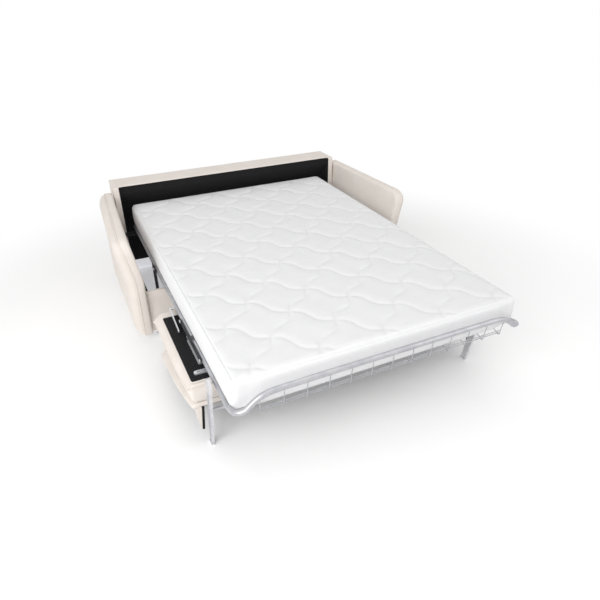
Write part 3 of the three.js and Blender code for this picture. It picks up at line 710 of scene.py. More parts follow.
def quilting(x, y):
    """The height of the quilted top over its stitching."""
    p, q = (x - y) * math.sqrt(0.5), (x + y) * math.sqrt(0.5)
    nearest = np.minimum(
        distance_to_lines(p, q, QUILT_SLANT[0], QUILT_SHIFT[0]),
        distance_to_lines(q, p, QUILT_SLANT[1], QUILT_SHIFT[1]),
    )
    puff = QUILT_PUFF * (1 - np.exp(-nearest / PUFF_REACH))
    return puff - STITCH_DEPTH * np.exp(-(nearest / STITCH_REACH) ** 2)


print("mattress", round(2 * MATTRESS_HALF), "by", round(MATTRESS_LENGTH), "mm")

# %% [markdown]
# Rounding works on how near a point of the plain box is to an edge: the nearer it is, the more it is
# pulled in. The foot end hangs a little forward and down between the side tubes, where only wires
# carry it.

# %% Mattress rim
CORNER_ROUND = 36.0
EDGE_ROUND = 20.0
SIDE_SWELL = 6.0
FOOT_SWELL, FOOT_SAG, FOOT_REACH = 9.0, 6.0, 140.0
RAIL_REACH = 60.0


def nearness(distance, reach):
    """1 at no distance, falling to 0 at reach."""
    return np.clip(1 - distance / reach, 0, 1)


def pull(near):
    """How much of the way to a round edge a point is drawn in."""
    return 1 - np.sqrt(1 - near ** 2 / 2)


def rim_inset(x, y, shift=0.0):
    """How far inside the rim a point lies, seen from above."""
    return np.minimum(MATTRESS_HALF - np.abs(x), np.minimum(y + shift, MATTRESS_LENGTH - y))


def near_rim(x, y, reach):
    """How near a point is to the sides, and to the two ends."""
    ends = np.minimum(y, MATTRESS_LENGTH - y)
    return nearness(MATTRESS_HALF - np.abs(x), reach), nearness(ends, reach)


def round_edges(x, y, z, share):
    """Rounds the edges of the top and the bottom."""
    near_side, near_end = near_rim(x, y, EDGE_ROUND)
    near_face = nearness(np.minimum(share, 1 - share) * MATTRESS_DEPTH, EDGE_ROUND)
    x = x - np.sign(x) * EDGE_ROUND * near_side * pull(near_face)
    y = y - np.sign(y - MATTRESS_LENGTH / 2) * EDGE_ROUND * near_end * pull(near_face)
    near = np.maximum(near_side, near_end)
    return x, y, z - np.sign(share - 0.5) * EDGE_ROUND * near_face * pull(near)


def round_corners(x, y):
    """Rounds the corners, as seen from above."""
    near_side, near_end = near_rim(x, y, CORNER_ROUND)
    inwards = np.sign(y - MATTRESS_LENGTH / 2)
    return (x - np.sign(x) * CORNER_ROUND * near_side * pull(near_end),
            y - inwards * CORNER_ROUND * near_end * pull(near_side))


def swell(x, y, z, share, inset, at_foot):
    """The sides bulge, and the foot end hangs forward and down between the side tubes."""
    x = x + np.sign(x) * SIDE_SWELL * np.sin(math.pi * share) * nearness(inset, EDGE_ROUND)
    between_rails = np.clip((MATTRESS_HALF - RAIL_REACH - np.abs(x)) / RAIL_REACH, 0, 1)
    y = y - FOOT_SWELL * between_rails * at_foot * np.sin(math.pi * (0.9 - share * 0.8))
    return x, y, z - FOOT_SAG * between_rails * at_foot * np.clip(1 - 2 * share, 0, 1)


print("the rim is rounded by", round(EDGE_ROUND), "mm")

# %% [markdown]
# The top is crowned and quilted inside a sewn seam. All of it fades out below the top, so the sides
# keep only a faint unevenness.

# %% Mattress surface
TOP_CROWN, CROWN_REACH = 5.0, 260.0
SEAM_INSET_TOP, SEAM_DEPTH, SEAM_REACH = 17.0, 4.5, 3.5
FOOT_SEAM_SHIFT = 11.0
QUILT_FADE = 22.0
SIDE_FADE = 6.0


def top_relief(points, x, y, inset):
    """The crown, the quilting and the seam of the top."""
    crown = TOP_CROWN * np.sin(math.pi / 2 * np.clip(inset / CROWN_REACH, 0, 1))
    quilted = np.clip((inset - SEAM_INSET_TOP) / QUILT_FADE, 0, 1)
    slack = ripple(points, 1.4, 330) + ripple(points, 0.9, 120, 4.0)
    seam = SEAM_DEPTH * np.exp(-((inset - SEAM_INSET_TOP) / SEAM_REACH) ** 2)
    return crown + quilted * (quilting(x, y) + slack) - seam


def shape_mattress(points):
    """Moves the points of a plain box to the real surface of the mattress."""
    x, y, z = points.T
    at_foot = nearness(y, FOOT_REACH)
    share = np.clip((z - MATTRESS_FLOOR) / MATTRESS_DEPTH, 0, 1)
    x, y, z = round_edges(x, y, z, share)
    inset = rim_inset(x, y)
    x, y = round_corners(x, y)
    x, y, z = swell(x, y, z, share, inset, at_foot)
    inset = rim_inset(x, y, FOOT_SEAM_SHIFT)
    z = z + np.clip(share * 2 - 1, 0, 1) ** 3 * top_relief(points, x, y, inset)
    z += nearness(inset, SIDE_FADE) * ripple(points * np.array([1, 1, 4.0]), 0.8, 260, 7.0)
    return np.stack([x, y, z], 1)


print("the top is crowned by", round(TOP_CROWN), "mm")

# %% [markdown]
# The box is divided every 7.5 mm, and more finely near its edges, where the rounding and the seam
# need the points. The underside is divided as finely as the top.

# %% Divide a box finely
GRID_STEP = 7.5
UPRIGHT_STEP = 14.0
EDGE_LINES = [2.5, 5.0, 8.0, 11.0, 13.5, 15.5, 17.0, 18.5, 20.5, 23.0, 27.0, 33.0]


def lattice(low, high, step, lines=()):
    """Places from low to high about a step apart, with extra ones at the lines."""
    places = set(np.linspace(low, high, max(2, round((high - low) / step) + 1)).round(3))
    places |= {round(line, 3) for line in lines if low < line < high}
    return np.array(sorted(places))


def box_surface(xs, ys, zs):
    """Points and faces of the surface of a box that is divided along those places."""
    index, points, faces = {}, [], []
    x1, y1, z1 = len(xs) - 1, len(ys) - 1, len(zs) - 1

    def add(*keys):
        for i, j, k in keys:
            if (i, j, k) not in index:
                index[i, j, k] = len(points)
                points.append((xs[i], ys[j], zs[k]))
        faces.append([index[key] for key in keys])

    for i in range(x1):
        for j in range(y1):
            add((i, j, z1), (i + 1, j, z1), (i + 1, j + 1, z1), (i, j + 1, z1))
            add((i, j, 0), (i, j + 1, 0), (i + 1, j + 1, 0), (i + 1, j, 0))
    for i in range(x1):
        for k in range(z1):
            add((i, 0, k), (i + 1, 0, k), (i + 1, 0, k + 1), (i, 0, k + 1))
            add((i, y1, k), (i, y1, k + 1), (i + 1, y1, k + 1), (i + 1, y1, k))
    for j in range(y1):
        for k in range(z1):
            add((0, j, k), (0, j, k + 1), (0, j + 1, k + 1), (0, j + 1, k))
            add((x1, j, k), (x1, j + 1, k), (x1, j + 1, k + 1), (x1, j, k + 1))
    return np.array(points), faces


SIDE_LINES = [side * (MATTRESS_HALF - line) for line in EDGE_LINES for side in (-1, 1)]
RIM_LINES = EDGE_LINES + [MATTRESS_DEPTH - line for line in EDGE_LINES]
END_LINES = EDGE_LINES + [MATTRESS_LENGTH - line for line in EDGE_LINES]
MATTRESS_XS = lattice(-MATTRESS_HALF, MATTRESS_HALF, GRID_STEP, SIDE_LINES)
MATTRESS_ZS = lattice(MATTRESS_FLOOR, MATTRESS_FLOOR + MATTRESS_DEPTH, UPRIGHT_STEP,
                      [MATTRESS_FLOOR + line for line in RIM_LINES])
print("the mattress is divided into", len(MATTRESS_XS), "columns")

# %% [markdown]
# The middle of the bed turns about the sofa body, and the foot turns twice, once at each end of its
# links. The stretch at the links is made as two halves that meet on the fold line. A piece that
# spans two parts is only baked where it lies and rides on neither of them. The span that runs on a
# little past the fold line is worked out but not used.

# %% Part the mattress and let it ride
FOOT_END = corners("mattress_foot")[1][1]
FOLD_END = corners("mattress_foot_fold")[1][1]
MIDDLE_END = corners("mattress_middle")[1][1]
LIFT_END = corners("mattress_head_fold")[1][1]
FOLD_LINE = (FOOT_END + FOLD_END) / 2
FOLD_EASE = 45.0

mattress_pieces = [
    ("foot_of_mattress", 0.0, FOOT_END, ("foot_section",), ("mattress_foot",)),
    ("foot_bend", FOOT_END, FOLD_LINE, ("foot_section", "fold_link"), ("mattress_foot_fold",)),
    ("middle_bend", FOLD_LINE, FOLD_END, ("fold_link", "middle_section"), ()),
    ("middle_of_mattress", FOLD_END, MIDDLE_END, ("middle_section",), ("mattress_middle",)),
    ("head_bend", MIDDLE_END, LIFT_END, ("middle_section", "sofa_frame"), ("mattress_head_fold",)),
    ("head_of_mattress", LIFT_END, MATTRESS_LENGTH, ("sofa_frame",), ("mattress_head",)),
]
for name, start, end, bodies, replaced in mattress_pieces:
    points, faces = box_surface(MATTRESS_XS, lattice(start, end, GRID_STEP, END_LINES), MATTRESS_ZS)
    made = make_mesh(name, shape_mattress(points), faces, "mattress_ticking")
    if len(bodies) == 1:
        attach(made, bodies[0])
    else:
        first = start - FOLD_EASE if start == FOLD_LINE else start
        last = end + FOLD_EASE if end == FOLD_LINE else end
        ends = to_frame([(0, first, MATTRESS_FLOOR), (0, last, MATTRESS_FLOOR)])
        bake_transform(made)
    if replaced:
        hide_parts(*replaced)
    print(name, len(points), "points")

# %% [markdown]
# ## The bed's grids
# Each section of the bed is a welded frame: round tube at the sides and ends, long wires between the
# end tubes and cross wires laid on them. The places of the tubes follow the measured model.

# %% Tubes and wires
TUBE, WIRE = 12.5, 2.0
TUBE_SIDES, WIRE_SIDES = 20, 8
WELD = 1.0
BED_LEVEL = corners("head_grid")[0][2] + TUBE
RAIL = corners("head_grid")[1][0] - TUBE
CROSS_LEVEL = BED_LEVEL + TUBE + WIRE - WELD
LONG_LEVEL = CROSS_LEVEL - 2 * WIRE + WELD
LONG_WIRES = 13
CROSS_PITCH = 150.0
WIRE_PITCH = 2 * RAIL / (LONG_WIRES + 1)
WIRE_PLACES = [WIRE_PITCH * (i + 1) - RAIL for i in range(LONG_WIRES)]


def bar(start, end, radius=TUBE):
    """A straight tube or wire."""
    return round_bar([start, end], radius, TUBE_SIDES if radius == TUBE else WIRE_SIDES)


def crosswise(y, z, radius=TUBE, half=RAIL):
    """A straight tube or wire across the bed."""
    return bar((-half, y, z), (half, y, z), radius)


def wire_net(start, end):
    """Long wires from one end tube to the other, with cross wires laid over them."""
    shells = [bar((x, start, LONG_LEVEL), (x, end, LONG_LEVEL), WIRE) for x in WIRE_PLACES]
    count = round((end - start) / CROSS_PITCH)
    places = [start + (end - start) * i / count for i in range(1, count)]
    return shells + [crosswise(y, CROSS_LEVEL, WIRE) for y in places]


def grid_frame(start, end, rail_start, rail_end):
    """Two end tubes and two side tubes."""
    shells = [crosswise(y, BED_LEVEL) for y in (start, end)]
    for x in (-RAIL, RAIL):
        shells.append(bar((x, rail_start, BED_LEVEL), (x, rail_end, BED_LEVEL)))
    return shells


def make_grid(name, node, body, shells):
    return make_piece(name, *gather(shells), "silver_paint", body, (node,))


print("rails", round(RAIL), "mm from the middle, at height", round(BED_LEVEL), "mm")

# %% [markdown]
# The head and middle grids meet at the pivots of the bed. Their end tubes stand a little to each
# side of the pivots' line, so that they don't meet when the middle of the bed lifts.

# %% Head and middle grids
BEHIND_PIVOT, BEFORE_PIVOT = 30.0, 45.0
LIFT_PIVOT = frame["joints"][0]["pos_m"][1] / METRES - FOOT_Y
for section, node, body, head_side in (("head_frame", "head_grid", "sofa_frame", True),
                                       ("middle_frame", "middle_grid", "middle_section", False)):
    low, high = corners(node)
    start = LIFT_PIVOT + BEHIND_PIVOT if head_side else low[1] + TUBE
    end = high[1] - TUBE if head_side else LIFT_PIVOT - BEFORE_PIVOT
    make_grid(section, node, body, grid_frame(start, end, low[1], high[1]) + wire_net(start, end))
print("head and middle grids made")

# %% [markdown]
# At the foot the side tubes rise into a hoop that keeps the mattress from sliding. The long wires
# dip under the mattress edge, turn up in front of it and are welded under the hoop, and two wires
# run along in the dip.

# %% Foot grid with its hoop
HOOP_Y = -40.0
HOOP_RISE = 101.0
HOOP_EAR = [  # outwards from the side tube, y, and up from the side tube
    (2, 80, 1), (5, 52, 9), (5, 30, 17), (4, 6, 23), (-2, -20, 31), (-16, -34, 36), (-34, -39, 41),
    (-50, HOOP_Y, 52), (-66, HOOP_Y, 66), (-88, HOOP_Y, 81), (-115, HOOP_Y, 92),
    (-150, HOOP_Y, 98), (-195, HOOP_Y, HOOP_RISE - 1)]
RAMP_START, BEND_START = 130.0, 70.0
LIP_Y = -20.0
HOOK_DROP = 16.0
LIP_SPACING = 10.4
FOOT_TUBE = corners("foot_grid")[1][1] - TUBE


def hoop_side(side):
    """One corner of the hoop: up and outwards from the side tube, then in and up to the front."""
    ear = [(side * (RAIL + outwards), y, BED_LEVEL + rise) for outwards, y, rise in HOOP_EAR]
    return [(side * RAIL, FOOT_TUBE, BED_LEVEL), (side * RAIL, RAMP_START, BED_LEVEL), *ear]


hoop_points = [*hoop_side(-1), (0, HOOP_Y, BED_LEVEL + HOOP_RISE), *hoop_side(1)[::-1]]
hoop_path = smooth_path(hoop_points, 9)
hoop_front = np.array(sorted((x, z) for x, y, z in hoop_path if y < HOOP_Y + 1))


def upturned_wire(x):
    """A long wire that dips in front of the mattress, hooks and rises to the hoop's underside."""
    low = LONG_LEVEL - HOOK_DROP
    under_hoop = np.interp(x, hoop_front[:, 0], hoop_front[:, 1]) - TUBE
    path = [(FOOT_TUBE, LONG_LEVEL), (60, LONG_LEVEL), (22, LONG_LEVEL - 3), (-4, low + 7),
            (LIP_Y + 2, low), (LIP_Y - 5, low + 6), (LIP_Y - 7, LONG_LEVEL + 8),
            (HOOP_Y + 8, LONG_LEVEL + 42), (HOOP_Y + 4, under_hoop)]
    return round_bar(smooth_path([(x, y, z) for y, z in path], 5), WIRE, WIRE_SIDES)


front_places = [x for x in WIRE_PLACES if abs(x) < RAIL - TUBE]
foot_shells = [round_bar(hoop_path, TUBE, TUBE_SIDES), crosswise(FOOT_TUBE, BED_LEVEL)]
foot_shells += [upturned_wire(x) for x in front_places]
for z in (LONG_LEVEL - LIP_SPACING / 2, LONG_LEVEL + LIP_SPACING / 2):
    foot_shells.append(crosswise(LIP_Y, z, WIRE, max(front_places)))
cross_count = round((FOOT_TUBE - BEND_START) / CROSS_PITCH)
for i in range(cross_count):
    y = BEND_START + (FOOT_TUBE - BEND_START) * i / cross_count
    foot_shells.append(crosswise(y, CROSS_LEVEL, WIRE))
make_grid("foot_frame", "foot_grid", "foot_section", foot_shells)
print("the hoop stands", round(HOOP_RISE), "mm over the side tubes")

# %% [markdown]
# ## Upholstered panels
# The back, its wings and the front rail are boards under padding and cloth. Each is a prism whose
# long edges are rounded by the padding, with a slight unevenness where the cloth was pulled tight by
# hand.

# %% Panels
END_INSET = 3.0


def panel(outline, radii, start, end, edge, along=10, uneven=0.8, seed=0.0):
    """A padded prism: the outline is in y and z, and it runs from start to end along x."""
    angles = np.linspace(0, math.pi / 2, 5)
    ends = [(0.0, edge + END_INSET)]
    ends += [(edge * (1 - math.cos(a)), edge * (1 - math.sin(a))) for a in angles]
    places = [(start + out, inset) for out, inset in ends]
    places += [(x, 0.0) for x in np.linspace(start + edge, end - edge, along + 1)[1:-1]]
    places += [(end - out, inset) for out, inset in reversed(ends)]
    rings = [[(x, y, z) for y, z in rounded_outline(outline, radii, inset, along=6)]
             for x, inset in places]
    points, faces = loft(rings)
    points += ripple(points, uneven, 260, seed)[:, None] * np.array([0.0, 0.7, 0.7])
    return points, faces


WALL_SETBACK, SHOULDER_DROP, TOP_ROLL = 106.0, 153.0, 54.0
back_low, back_high = corners("back_panel")
BACK_REAR, BACK_TOP, BACK_FOOT = back_high[1], back_high[2], back_low[2]
TOP_FRONT, WALL_FRONT = back_low[1], BACK_REAR - WALL_SETBACK
SHOULDER, ROLL_FOOT = BACK_TOP - SHOULDER_DROP, BACK_TOP - TOP_ROLL
BACK_SECTION = [(BACK_REAR, BACK_FOOT), (BACK_REAR, BACK_TOP), (TOP_FRONT, BACK_TOP),
                (TOP_FRONT, ROLL_FOOT), (WALL_FRONT, SHOULDER), (WALL_FRONT, BACK_FOOT)]
points, faces = panel(BACK_SECTION, [6, 9, 9, 20, 40, 6], back_low[0], back_high[0], 1.2, along=24)
make_piece("padded_back", points, faces, "cream_fabric", "sofa_frame", ("back_panel",))

for word in ("left", "right"):
    node = "back_wing_" + word
    low, high = corners(node)
    outline = rectangle(low[1], high[1], low[2], high[2])
    points, faces = panel(outline, [6, 6, 9, 9], low[0], high[0], 2.2, along=4, seed=low[0])
    make_piece("padded_wing_" + word, points, faces, "cream_fabric", "sofa_frame", (node,))

low, high = corners("front_rail")
outline = rectangle(low[1], high[1], low[2], high[2])
points, faces = panel(outline, [5, 5, 6, 6], low[0], high[0], 3.0, along=20, uneven=0.5)
make_piece("covered_rail", points, faces, "cream_fabric", "sofa_frame", ("front_rail",))
print("back, wings and rail upholstered")

# %% [markdown]
# ## Black lining of the well
# The lining is one cloth. It starts at the front edge of one wing, runs round the inner face of the
# back and ends at the other wing. Low in the well the pale cover under the sofa is turned up against
# the back. Both are sheets a few millimetres thick that follow the slope under the padded top, and
# they are stretched over what carries them, so they are drawn where they lie.

# %% Back lining
LINING_THICK = 3.0
LINING_CLEAR = 0.5
LINING_TURN = 22.0
LINING_EDGE = 3.0
LINING_FOOT = corners("back_liner")[0][2]
wing_low, wing_high = corners("back_wing_left")
WING_FACE = abs(wing_high[0])
LINING_START = wing_low[1] + LINING_EDGE


def well_path(z, inset):
    """The plan of the well's wall at a height, from one wing round the back to the other."""
    wall = np.interp(z, [SHOULDER, ROLL_FOOT], [WALL_FRONT, TOP_FRONT]) - LINING_CLEAR - inset
    half = WING_FACE - LINING_CLEAR - inset
    turn = LINING_TURN - inset
    angles = np.linspace(0, math.pi / 2, 7)
    corner = [(half - turn * (1 - math.cos(a)), wall - turn * (1 - math.sin(a))) for a in angles]
    side = [(half, y) for y in np.linspace(LINING_START, wall - turn, 8)[:-1]]
    back = [(x, wall) for x in np.linspace(half - turn, 0, 40)[1:]]
    right = side + corner + back
    return [(-x, y) for x, y in right] + [(x, y) for x, y in right[-2::-1]]


def well_sheet(low_z, high_z, rows):
    """A cloth that stands against the wall of the well between two heights."""
    rings = []
    for z in lattice(low_z, high_z, (high_z - low_z) / rows, [SHOULDER, ROLL_FOOT]):
        near, far = well_path(z, LINING_THICK), well_path(z, 0.0)
        rings.append([(x, y, z) for x, y in near + far[::-1]])
    points, faces = loft(rings)
    slack = np.abs(ripple(points, 0.5, 210))
    points[:, 1] -= np.where(points[:, 1] > LINING_START + 30, slack, 0)
    return points, faces


points, faces = well_sheet(LINING_FOOT, BACK_TOP - 5, 36)
lining = make_piece("back_lining", points, faces, "black_lining", "sofa_frame", ("back_liner",))
points, faces = well_sheet(BACK_FOOT + 1, LINING_FOOT - 1, 6)
turned_up = make_piece("cover_turned_up", points, faces, "cover_cloth", "sofa_frame")
print("the back of the well is lined")

# %% [markdown]
# The side boards stand bare on their outer side. Their lining covers the inner face and is folded
# over the top, where it ends flush with the board.

# %% Side lining
LAP_THICK = 2.0
LAP_RISE = 2.5
SIDES = (("left", -1), ("right", 1))

for word, side in SIDES:
    node = "side_liner_" + word
    low, high = np.abs(corners(node)), np.abs(corners("side_board_" + word))
    face, back = sorted((low[0][0], low[1][0]))
    outer, board_top, foot = max(high[:, 0]), high[1][2], low[0][2]
    lap = board_top + LINING_CLEAR
    section = [(face, foot), (back, foot), (back, lap), (outer, lap), (outer, lap + LAP_THICK),
               (face, board_top + LAP_RISE)]
    ring = rounded_outline(section, [1, 0.8, 0.8, 0.8, 0.8, 2.4], 0.0, arc=3, along=4)
    points, faces = loft([[(side * x, y, z) for x, z in ring]
                          for y in np.linspace(low[0][1], low[1][1], 40)])
    lining = make_piece("side_lining_" + word, points, faces, "black_lining", "sofa_frame", (node,))
print("the sides of the well are lined")

# %% [markdown]
# ## Arms
# Each arm is a slim panel that leans outwards towards the top, with a stuffed pad sewn to its outer
# face. Cord piping runs round the seam between them. Rings of the arm's side outline, moved outwards
# and drawn in, give the panel and the pad; the lean is added to every point by its height.

# %% Arm shape
arm_low, arm_high = corners("arm_panel_right")
ARM_IN = arm_low[0]
ARM_FOOT, ARM_TOP = arm_low[2], arm_high[2]
ARM_REAR = arm_high[1]
ARM_FRONT_TOP, ARM_FRONT_FOOT = 1194.0, 1204.0
ARM_CORNERS = [(ARM_FRONT_FOOT, ARM_FOOT), (ARM_REAR, ARM_FOOT),
               (ARM_REAR, ARM_TOP), (ARM_FRONT_TOP, ARM_TOP)]
ARM_ROUND = [14, 14, 18, 80]
LEAN_START = 400.0
LEAN_POWER = 1.2
LEAN_REACH = (50.0, 8.0)
LEAN_PLACES = (1200.0, 2050.0)


def lean(y, z):
    """How far the arm has leaned outwards: the top leans most near the front."""
    reach = np.interp(y, LEAN_PLACES, LEAN_REACH)
    return reach * (np.maximum(0, z - LEAN_START) / (ARM_TOP - LEAN_START)) ** LEAN_POWER


def arm_ring(inset, out):
    """The arm's side outline drawn in by inset and moved outwards."""
    outline = rounded_outline(ARM_CORNERS, ARM_ROUND, inset, arc=10, along=16)
    y, z = outline[:, 0], outline[:, 1]
    return np.stack([ARM_IN + out + lean(y, z), y, z], 1)


def quarter(inset, out, deep, tall):
    """Rings round a padded edge, from flat beside the outline to square to it."""
    angles = np.linspace(0, math.pi / 2, 6)
    return [arm_ring(inset + deep * (1 - math.sin(a)), out + tall * (1 - math.cos(a)))
            for a in angles]


print("arms are", round(ARM_TOP), "mm high")

# %% [markdown]
# The pad's edge is tucked into the seam and swells over it before it comes round to the broad outer
# face. The few rings below say how far in the outline lies at each step outwards, and a smooth curve
# fills in the rest.

# %% Make the arms
PANEL_THICK = 45.0
PANEL_EDGE = 14.0
SEAM_INSET = 9.0
PAD_START = PANEL_THICK + 0.4
PAD_THICK = 52.0
PIPING, PIPING_INSET, PIPING_SIDES = 3.6, 2.0, 10
PANEL_INSETS = (250, 190, 140, 100, 70, 45, 28)
SEAM_INSETS = (45, 100, 190)
PAD_EDGE = [(SEAM_INSET, 0), (8.5, 5), (10, 12), (16, 22), (27, 33), (43, 42), (64, 48)]
PAD_CROWN = [(88, 2.2), (115, 1.2), (150, 0.5), (195, 0.1), (250, 0.0)]


def arm_side(points, side):
    """The points of the right arm, or the same mirrored for the left one."""
    return np.array(points, float) * np.array([side, 1, 1])


def arm_piece(name, node, rings, side, uneven, length, seed, shares):
    """A cover of the arm through those rings, with its unevenness."""
    points, faces = loft(rings)
    points = arm_side(points, side)
    points += ripple(points, uneven, length, seed)[:, None] * np.array(shares)
    return make_piece(name, points, faces, "cream_fabric", "sofa_frame", (node,))


def make_arm(word, side):
    rings = [arm_ring(inset, 0.0) for inset in PANEL_INSETS] + quarter(0, 0, PANEL_EDGE, PANEL_EDGE)
    rings += quarter(0, PANEL_THICK, SEAM_INSET, -SEAM_INSET)[::-1]
    rings += [arm_ring(inset, PANEL_THICK) for inset in SEAM_INSETS]
    made = arm_piece("arm_panel_cover_" + word, "arm_panel_" + word, rings, side,
                     0.8, 280, side, [0.6, 0.4, 0.5])
    rings = [arm_ring(inset, PAD_START) for inset in SEAM_INSETS[::-1]]
    edge = smooth_path([(inset, PAD_START + out) for inset, out in PAD_EDGE], 3)
    rings += [arm_ring(inset, out) for inset, out in edge]
    rings += [arm_ring(inset, PAD_START + PAD_THICK - drop) for inset, drop in PAD_CROWN]
    made = arm_piece("arm_pad_cover_" + word, "arm_pad_" + word, rings, side,
                     1.2, 300, 2 * side, [0.8, 0.3, 0.4])
    path = arm_side(arm_ring(PIPING_INSET, PANEL_THICK), side)
    points, faces = round_bar(path, PIPING, PIPING_SIDES, closed=True)
    make_piece("arm_piping_" + word, points, faces, "cream_fabric", "sofa_frame")
    print(word, "arm made of", len(rings), "rings for its pad")


for word, side in SIDES:
    make_arm(word, side)

# %% [markdown]
# ## Seat and backrest
# Unfolded, the seat and the backrest hang upside down under the bed. Both are foam on a board: the
# cover is cream fabric on the cushion and black lining over the board. A cushion is rings of its plan
# outline, each at its height. The sides bulge more at the rear than near the front, where the cover
# is pulled tight.

# %% Cushions
SIDE_REACH = 34.0
FRONT_SHARE = 0.3
FRONT_FADE = 260.0
CUSHION_PIPING = 3.2


def cushion(polygon, radii, rings, half, bulge):
    """Rings of a cushion's plan outline: each is (inset, height, share of the side bulge)."""
    made = []
    for inset, height, share in rings:
        outline = rounded_outline(polygon, radii, inset, arc=8, along=26)
        x, y = outline[:, 0], outline[:, 1]
        reach = np.clip((np.abs(x) - half + SIDE_REACH) / SIDE_REACH, 0, 1)
        fade = np.clip((y - polygon[0][1]) / FRONT_FADE, 0, 1) ** 0.7
        reach *= FRONT_SHARE + (1 - FRONT_SHARE) * fade
        z = height(x, y) if callable(height) else np.full(len(x), float(height))
        made.append(np.stack([x + np.sign(x) * bulge * share * reach, y, z], 1))
    return made


def cord(polygon, radii, inset, height, half, bulge):
    """Piping that follows a cushion's outline at a height."""
    path = cushion(polygon, radii, [(inset, height, 1.0)], half, bulge)[0]
    return round_bar(path, CUSHION_PIPING, 8, closed=True)


print("cushions can be made of rings")

# %% [markdown]
# The seat is deep and soft. Its seam runs low along the sides and rises to the edge of the front,
# and its rear corners stick out a little where the two covers are sewn together.

# %% Seat
seat_low, seat_high = corners("seat_cushion")
board_low, board_high = corners("seat_board")
SEAT_HALF = board_high[0] + 6
SEAT_ROUND = [14, 14, 30, 30]
SEAT_FOOT, SEAT_RIM = seat_low[2] + 4, seat_high[2]
SEAT_BULGE = seat_high[0] - SEAT_HALF
SIDE_SEAM, FRONT_SEAM = 303.0, 328.0
EAR = 14.0
seat_polygon = rectangle(-SEAT_HALF, SEAT_HALF, seat_low[1], seat_high[1])
seat_rings = [(inset, SEAT_FOOT + rise, share) for inset, rise, share in (
    (300, -4, 0), (200, -3.6, 0), (120, -3, 0), (60, -1.5, 0), (16, 0, 0.1), (7, 5, 0.35),
    (2, 16, 0.6), (0, 34, 0.85), (0, 52, 0.97), (0, SIDE_SEAM - SEAT_FOOT, 1.0),
    (1, 72, 0.92), (4, 88, 0.7))]
seat_rings += [(inset, SEAT_RIM - drop, share) for inset, drop, share in (
    (8, 7, 0.45), (14, 2, 0.25), (24, 0, 0.1), (60, 0, 0), (160, 0, 0))]


def pull_ears(points):
    """Draws out the rear corners of the seat at its seam."""
    behind, above = points[:, 1] - seat_high[1] + 8, points[:, 2] - SIDE_SEAM
    near = np.exp(-(behind / 18) ** 2 - (above / 15) ** 2) * (np.abs(points[:, 0]) > SEAT_HALF - 40)
    points[:, 0] += np.sign(points[:, 0]) * EAR * near
    return points


def seam_height(x, y):
    """The seam's height: low along the sides, and up to the edge of the front."""
    return SIDE_SEAM + (FRONT_SEAM - SIDE_SEAM) * np.clip((seat_low[1] + 26 - y) / 24, 0, 1)


points, faces = loft(cushion(seat_polygon, SEAT_ROUND, seat_rings, SEAT_HALF, SEAT_BULGE))
points[:, 2] += ripple(points, 0.9, 240, 2.0)
seat = make_piece("seat_cushion_cover", pull_ears(points), faces, "cream_fabric", "middle_section",
                  ("seat_cushion",))
points, faces = cord(seat_polygon, SEAT_ROUND, 0.5, seam_height, SEAT_HALF, SEAT_BULGE)
make_piece("seat_piping", pull_ears(points), faces, "cream_fabric", "middle_section")
print("seat", round(2 * SEAT_HALF), "mm wide")

# %% [markdown]
# The seat's board is wrapped in black lining, and cream piping runs round its upper edge.

# %% Seat board
BOARD_ROUND = [10] * 4
board_polygon = rectangle(board_low[0], board_high[0], board_low[1], board_high[1])
board_foot, board_top = board_low[2], board_high[2]
board_rings = [(60, board_foot, 0), (3, board_foot, 0), (0, board_foot + 3, 0),
               (0, board_top - 2, 0), (3, board_top, 0), (20, board_top + 0.2, 0),
               (60, board_top - 0.3, 0)]
points, faces = loft(cushion(board_polygon, BOARD_ROUND, board_rings, SEAT_HALF, 0))
make_piece("seat_board_lining", points, faces, "black_lining", "middle_section", ("seat_board",))
points, faces = cord(board_polygon, BOARD_ROUND, -3.0, board_top - 4.0, SEAT_HALF, 0)
make_piece("board_piping", points, faces, "cream_fabric", "middle_section")
print("the board is", round(board_top - board_foot), "mm thick")

# %% [markdown]
# The backrest is a wedge that slants down towards the floor. Its layers slant with it, so each ring
# takes its height from a function of the place along the wedge, not from one number.

# %% Backrest
rest_low, rest_high = corners("backrest_cushion")
REST_FRONT, REST_REAR = rest_low[1], rest_high[1]
REST_HALF = corners("backrest_board")[1][0] + 3
REST_BULGE = rest_high[0] - REST_HALF
REST_ROUND = [12, 12, 22, 22]
BOARD_UNDER = (201.0, 76.0)
REST_UPPER = (232.0, 140.0)
BOARD_THICK = 9.3


def along_rest(y, ends):
    """A height that goes evenly from the front of the wedge to its rear."""
    return ends[0] + (ends[1] - ends[0]) * (y - REST_FRONT) / (REST_REAR - REST_FRONT)


def rest_height(share):
    """The height of a slanting layer of the wedge, from its underside at 0 to its top at 1."""
    def height(x, y):
        low = along_rest(y, BOARD_UNDER) + BOARD_THICK
        return low + (along_rest(y, REST_UPPER) - low) * share
    return height


def board_height(lift):
    """The height of the backrest board's underside, lifted square to the floor."""
    return lambda x, y: along_rest(y, BOARD_UNDER) + lift


